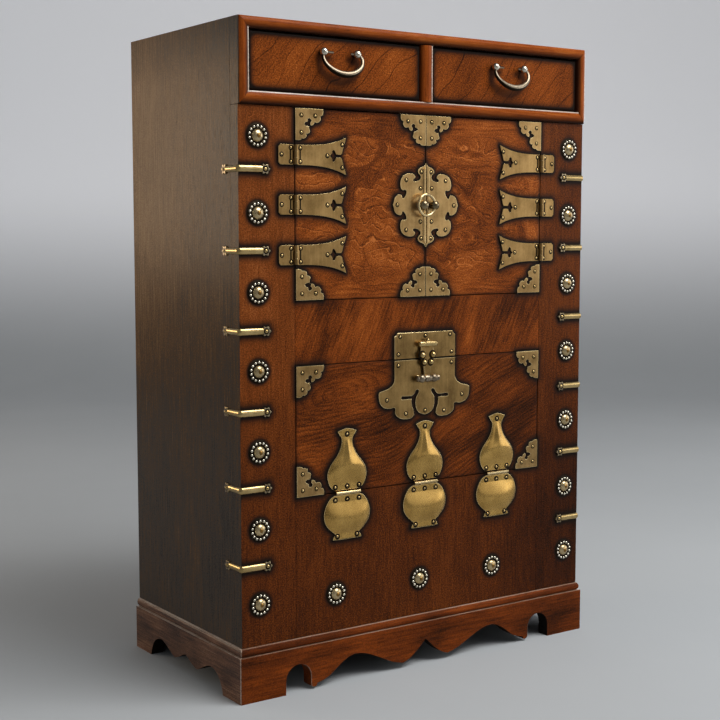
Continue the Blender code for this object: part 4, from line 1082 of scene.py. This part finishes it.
def build_hasp():
    """The hasp with its rivets and lift bar, and the turned ends of its pin."""
    bm = bmesh.new()
    plate(bm, at(0.0, 0.0), mirrored(smooth_run(HASP_EDGE, 2)), HASP_BACK, HASP_FACE, LOCK)
    for x, z, radius in both_sides(HASP_RIVETS):
        shadow = ((0.0, 2 * CLEAR), (1.3 * radius, 2 * CLEAR), (1.4 * radius, 0.0))
        lathe(bm, at(x, z, HASP_FACE), shadow, 18, PATINA_AND_SHADE)
        ball(bm, at(x, z, HASP_FACE + RIVET_LIFT).translation, radius, STRAP)
    lathe(bm, across(*LIFT_AT), both_ends(LIFT_BAR), 16, STRAP)
    ball(bm, at(0.0, LIFT_AT[2] + LIFT_BALL_UP, LIFT_AT[1]).translation, LIFT_BALL_R, STRAP)
    lathe(bm, across(*PIN_AT), both_ends(HASP_KNUCKLE), 16, BAIL)
    dressed("hasp_strap", bm)
    bm = bmesh.new()
    for side, turn in ((-1, 0.0), (1, pi)):
        lathe(bm, across(*PIN_AT) @ Matrix.Rotation(turn, 4, "X"), STAPLE_END, 16, BAIL)
        lathe(bm, at(side * STAPLE_FOOT_X, PIN_AT[2]), STAPLE_FOOT, 12, BRIGHT)
    dressed("hasp_staple", bm)


def build_gourds():
    """Three gourd hinges: a leaf on the drop front and a leaf on the lower panel each."""
    made = []
    third = KNUCKLE_HALF / 3
    inner = both_ends(((0.0, -third), (KNUCKLE_R, -third)))
    outer = ((0.0, third + CLEAR), (KNUCKLE_R, third + CLEAR), (KNUCKLE_R, KNUCKLE_HALF - KNUCKLE_EASE),
             (KNUCKLE_R - KNUCKLE_EASE, KNUCKLE_HALF), (0.0, KNUCKLE_HALF))
    knuckles = {"upper": ((0.0, inner),), "lower": ((0.0, outer), (pi, outer))}
    for name in ("left", "middle", "right"):
        x = middle(f"{name}_gourd_lower_leaf").x
        for leaf, (direction, rows, field, ridge, nails) in GOURD_LEAVES.items():
            bm = bmesh.new()
            gourd_leaf(bm, x, direction, rows, field, ridge)
            for side, along in both_sides(nails):
                nail(bm, at(x + side, DROP_Z + along, LEAF_FACE), GOURD_NAIL, GOURD_NAIL_RING)
            for turn, knuckle in knuckles[leaf]:
                lathe(bm, across(x, PIN_OUT, DROP_Z) @ Matrix.Rotation(turn, 4, "X"), knuckle, 16, BRIGHT)
            made.append(dressed(f"{name}_gourd_{leaf}_leaf", bm))
    return made


def build_pulls():
    """Drawer posts and bails, the door knobs and the ring; the posts and bails are returned."""
    pulls = []
    for name in ("left", "right"):
        posts = [f"{name}_drawer_{end}_post" for end in ("left", "right")]
        for post in posts:
            bm = bmesh.new()
            lathe(bm, at(middle(post).x, BAIL_Z), POST, 20, BEAD)
            lathe(bm, at(middle(post).x, BAIL_Z), POST_STEM, 20, PATINA_AND_SHADE)
            pulls.append(dressed(post, bm))
        start = sum(middle(post).x for post in posts) / 2 + BAIL_PLAY
        path = [(at(start + x, BAIL_Z + z, out).translation, radius)
                for x, z, out, radius in smooth_run(mirrored(BAIL_HALF), 4)]
        bm = bmesh.new()
        # The bail's lower side is painted dark as shade
        tube(bm, path, BAIL, flat=BAIL_FLAT, under_shade=PATINA_AND_SHADE)
        pulls.append(dressed(f"{name}_drawer_bail", bm))
    bm = bmesh.new()
    lathe(bm, at(KNOB_X, ROSETTE_Z), KNOB, 24, AGED)
    dressed("left_door_knob", bm)
    bm = bmesh.new()
    lathe(bm, at(middle("right_door_ring_eye").x, ROSETTE_Z), EYE, 20, AGED)
    dressed("right_door_ring_eye", bm)
    bm = bmesh.new()
    low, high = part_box("door_lock_ring")
    centre = middle("door_lock_ring")
    lean = (high.y - low.y) / 2 - (high.x - low.x) / 2 + RING_R
    path = []
    for angle in turns(RING_STEPS):
        spot = Vector((RING_R * cos(angle), lean * cos(angle), RING_R * sin(angle)))
        path.append((centre + spot, RING_WIRE))
    tube(bm, path, BRIGHT, closed=True)
    dressed("door_lock_ring", bm)
    return pulls


def flattened(pieces, drop=0.0):
    """A search tree of pieces pressed flat onto the front, moved down."""
    points = []
    faces = []
    for piece in pieces:
        start = len(points)
        points += [Vector((v.co.x, 0.0, v.co.z - drop)) for v in piece.data.vertices]
        faces += [[start + n for n in polygon.vertices] for polygon in piece.data.polygons]
    return BVHTree.FromPolygons(points, faces)


def flank(normal, centre):
    """Whether a face lies on the side of the case."""
    return abs(normal.x) > 0.9 and abs(centre.x) > FLANK_X


def downward(normal, centre):
    """Whether a face looks down."""
    return normal.z < -0.4


def shaded(normal, centre):
    """Whether a face of the base looks down or inwards, or is cut into its edge."""
    front = normal.y < -0.3 and centre.y < BASE_FRONT_Y
    side = centre.x * normal.x > BASE_SIDE_X
    back = normal.y > 0.5 and centre.y > BASE_BACK_Y
    return normal.z < 0.2 and not (front or side or back)


def bead_top(steepness):
    """A test for the faces on top of the base's bead that look up by more than a share."""
    def test(normal, centre):
        return normal.z > steepness and centre.z > BASE_BEAD_Z
    return test


def shading(axis, light, dark, depth):
    """Painted shade that deepens along an axis from one place to another."""
    def shade(point):
        share = (getattr(point, axis) - light) / (dark - light)
        return depth * min(1.0, max(0.0, share))
    return shade


def build_wood(near):
    """The wooden pieces."""
    flush = dict(edge=(0.0030, 0.0), radius=0.0003)
    panel("left_door_panel", ["door"], near, (0.0022, 0.65), radius=0.0007, slope=(0.0, DOOR_SLOPE))
    panel("right_door_panel", ["door"], near, (0.0030, 0.65), radius=0.0007, slope=(DOOR_SLOPE, 0.0))
    panel("drop_front_panel", ["drop"], near, (0.0022, 0.6))
    panel("lower_front_panel", ["stile"], near, **flush)
    for name in ("left", "right"):
        panel(f"{name}_stile", ["stile", "side_z"], near, **flush)
        # A drawer front's wide dark border is glaze with the painted shadow of the frame round it
        panel(f"{name}_drawer_front", ["drawer"], near, (0.0062, 1.5), radius=0.0035, corner=0.014)
    low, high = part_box("middle_rail")
    drop_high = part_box("drop_front_panel")[1]
    lip = (Vector((low.x, drop_high.y + LIP_GAP, low.z)), high)
    face = (Vector((low.x, low.y, drop_high.z + RAIL_GAP)), Vector((high.x, drop_high.y, high.z)))
    panel("middle_rail", ["rail"], near, lip=lip, box=face, **flush)
    # Each frame piece is painted darker towards the underside or inner side of its round moulding, as shade
    for node, (look, *row) in FRAME_PIECES.items():
        refined(node, look, 0.0, zones=(("side_z", flank),), shade=shading(*row))
    # Thin pale rods along the frame's edges, as painted highlights
    bm = bmesh.new()
    for x0, z0, out0, x1, z1, out1, radius in FRAME_EDGE_HIGHLIGHTS:
        ends = (at(x0, z0, out0).translation, at(x1, z1, out1).translation)
        tube(bm, [(end, radius) for end in ends], segments=8)
    add_object("frame_edge_highlights", bm, "chest", ["highlight_wood"])
    # Faces of the base that look down or inwards, or are cut into its edge, are painted near-black as shade
    dark = ("under_shade", shaded)
    # On the front base the bead's top and the eased edges take pale lines, wear with a painted highlight
    zones = (dark, ("wear_and_highlight_wood", bead_top(0.7)))
    refined("plinth_front", "plinth", BASE_EASE, "wear_and_highlight_wood", zones)
    # On the side bases a thin strip on the bead's top and the eased edges take painted highlight lines
    zones = (dark, ("highlight_wood", bead_top(0.93)))
    for name in ("left", "right"):
        refined(f"plinth_{name}", "side_y", BASE_EASE, "highlight_wood", zones)
        refined(f"{name}_side", "side_z", SIDE_EASE)
    refined("top_panel", "side_x", BASE_EASE)
    for node in ("plinth_back", "bottom_panel"):
        refined(node, "inner", INNER_EASE, zones=(dark,))
    for node in ("middle_shelf", "drawer_shelf", "back_panel", "left_drawer_box", "right_drawer_box"):
        refined(node, "inner", INNER_EASE)


def build_brass():
    """The brass fittings, returned as search trees with the reach and amount of the glaze and painted shade
    round them.
    """
    plates, studs = build_trim()
    flat = plates + build_gourds() + [build_drop_lock()]
    for name, side in (("left", -1), ("right", 1)):
        for number in (1, 2, 3):
            for leaf in ("stile_leaf", "door_leaf"):
                # The hinge leaves' eased edges take the bright look: wear with a painted highlight
                flat.append(refined(f"{name}_hinge_{number}_{leaf}", "hinge", LEAF_EASE, "bright"))
        flat.append(build_round_lock(name, side))
    # The rail lock plate's faces that look down, along its seam, are painted dark as shade
    flat.append(refined("rail_lock_plate", "lock", LEAF_EASE, "bright", (("patina_and_shade", downward),)))
    build_hasp()
    pulls = build_pulls()
    # Under each pull the dark mark lies lower, as its painted shadow
    return ((flattened(flat), *PLATE_GLAZE_AND_SHADE), (flattened(studs), *STUD_GLAZE_AND_SHADE),
            (flattened(pulls, PULL_DROP), *PULL_SHADOW))


def floor_grey():
    """Pale grey that glows as it rises into the backdrop, and takes on the world's light far out."""
    g = Graph("floor_grey", 0.75, specular=0.2)
    cloud = g.noise(g.position(), 1.4, detail=4.0)
    x, y, z = g.split(g.position())
    rise = g.range(z, *BACKDROP_RISE)
    far = g.range(g.math("SQRT", x * x + y * y), *FADE_AT)
    near = 1.0 + far * -1.0
    ground = g.mix(cloud, GROUND_DARK, GROUND_LIGHT)
    path = g.node("ShaderNodeLightPath")
    bounced = g.math("MAXIMUM", g.out(path, "Is Glossy Ray"), g.out(path, "Is Transmission Ray"))
    seen = g.math("MAXIMUM", g.out(path, "Is Camera Ray"), bounced)
    glow = rise * seen * near * BACKDROP_GLOW
    g.put(g.shader.inputs["Emission Color"], (*WORLD_COLOUR, 1.0))
    g.put(g.shader.inputs["Emission Strength"], glow + far * WORLD_STRENGTH)
    return g.finish(g.mix(far, g.mix(rise, ground, BACKDROP_TONE), (0.0, 0.0, 0.0)))


def build_stage():
    """Floor with a curved backdrop, soft lights, and the camera."""
    link = bpy.context.scene.collection.objects.link
    bm = bmesh.new()
    profile = [(-FLOOR_REACH, 0.0)]
    for angle in (pi / 2 * step / 16 for step in range(17)):
        profile.append((SWEEP_START + SWEEP_R * sin(angle), SWEEP_R - SWEEP_R * cos(angle)))
    profile.append((SWEEP_START + SWEEP_R, BACKDROP_TOP))
    rows = [[bm.verts.new((x, y, z)) for x in (-FLOOR_REACH, FLOOR_REACH)] for y, z in profile]
    for first, second in zip(rows, rows[1:]):
        skin(bm, first, second)
    mesh = bpy.data.meshes.new("floor")
    bm.to_mesh(mesh)
    bm.free()
    mesh.shade_smooth()
    mesh.materials.append(floor_grey())
    floor = bpy.data.objects.new("floor", mesh)
    floor.matrix_world = Matrix.Rotation(CAMERA_TURN[2], 4, "Z")
    link(floor)
    for name, (place, aim, wide, tall, power, colour) in LAMPS.items():
        lamp = bpy.data.lights.new(name, "AREA")
        lamp.shape = "RECTANGLE"
        lamp.size = wide
        lamp.size_y = tall
        lamp.energy = power
        lamp.color = colour
        holder = bpy.data.objects.new(name, lamp)
        holder.location = place
        holder.rotation_euler = (Vector(aim) - Vector(place)).to_track_quat("-Z", "Y").to_euler()
        link(holder)
    world = bpy.data.worlds.new("studio")
    world.use_nodes = True
    background = world.node_tree.nodes["Background"]
    background.inputs["Color"].default_value = (*WORLD_COLOUR, 1.0)
    background.inputs["Strength"].default_value = WORLD_STRENGTH
    bpy.context.scene.world = world
    lens = bpy.data.cameras.new("camera")
    lens.lens = CAMERA_LENS
    lens.sensor_width = SENSOR_WIDTH
    camera = bpy.data.objects.new("camera", lens)
    camera.location = CAMERA_AT
    camera.rotation_euler = CAMERA_TURN
    link(camera)
    bpy.context.scene.camera = camera
    bpy.context.scene.view_settings.view_transform = "Standard"


for thing in list(bpy.data.objects):
    bpy.data.objects.remove(thing)
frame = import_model()
FRONT_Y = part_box("left_stile")[0].y
CASE_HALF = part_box("right_stile")[1].x
PIN_OUT = FRONT_Y - (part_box("middle_gourd_lower_leaf")[0].y + KNUCKLE_R)
LOOK = make_looks()
build_wood(build_brass())
build_stage()
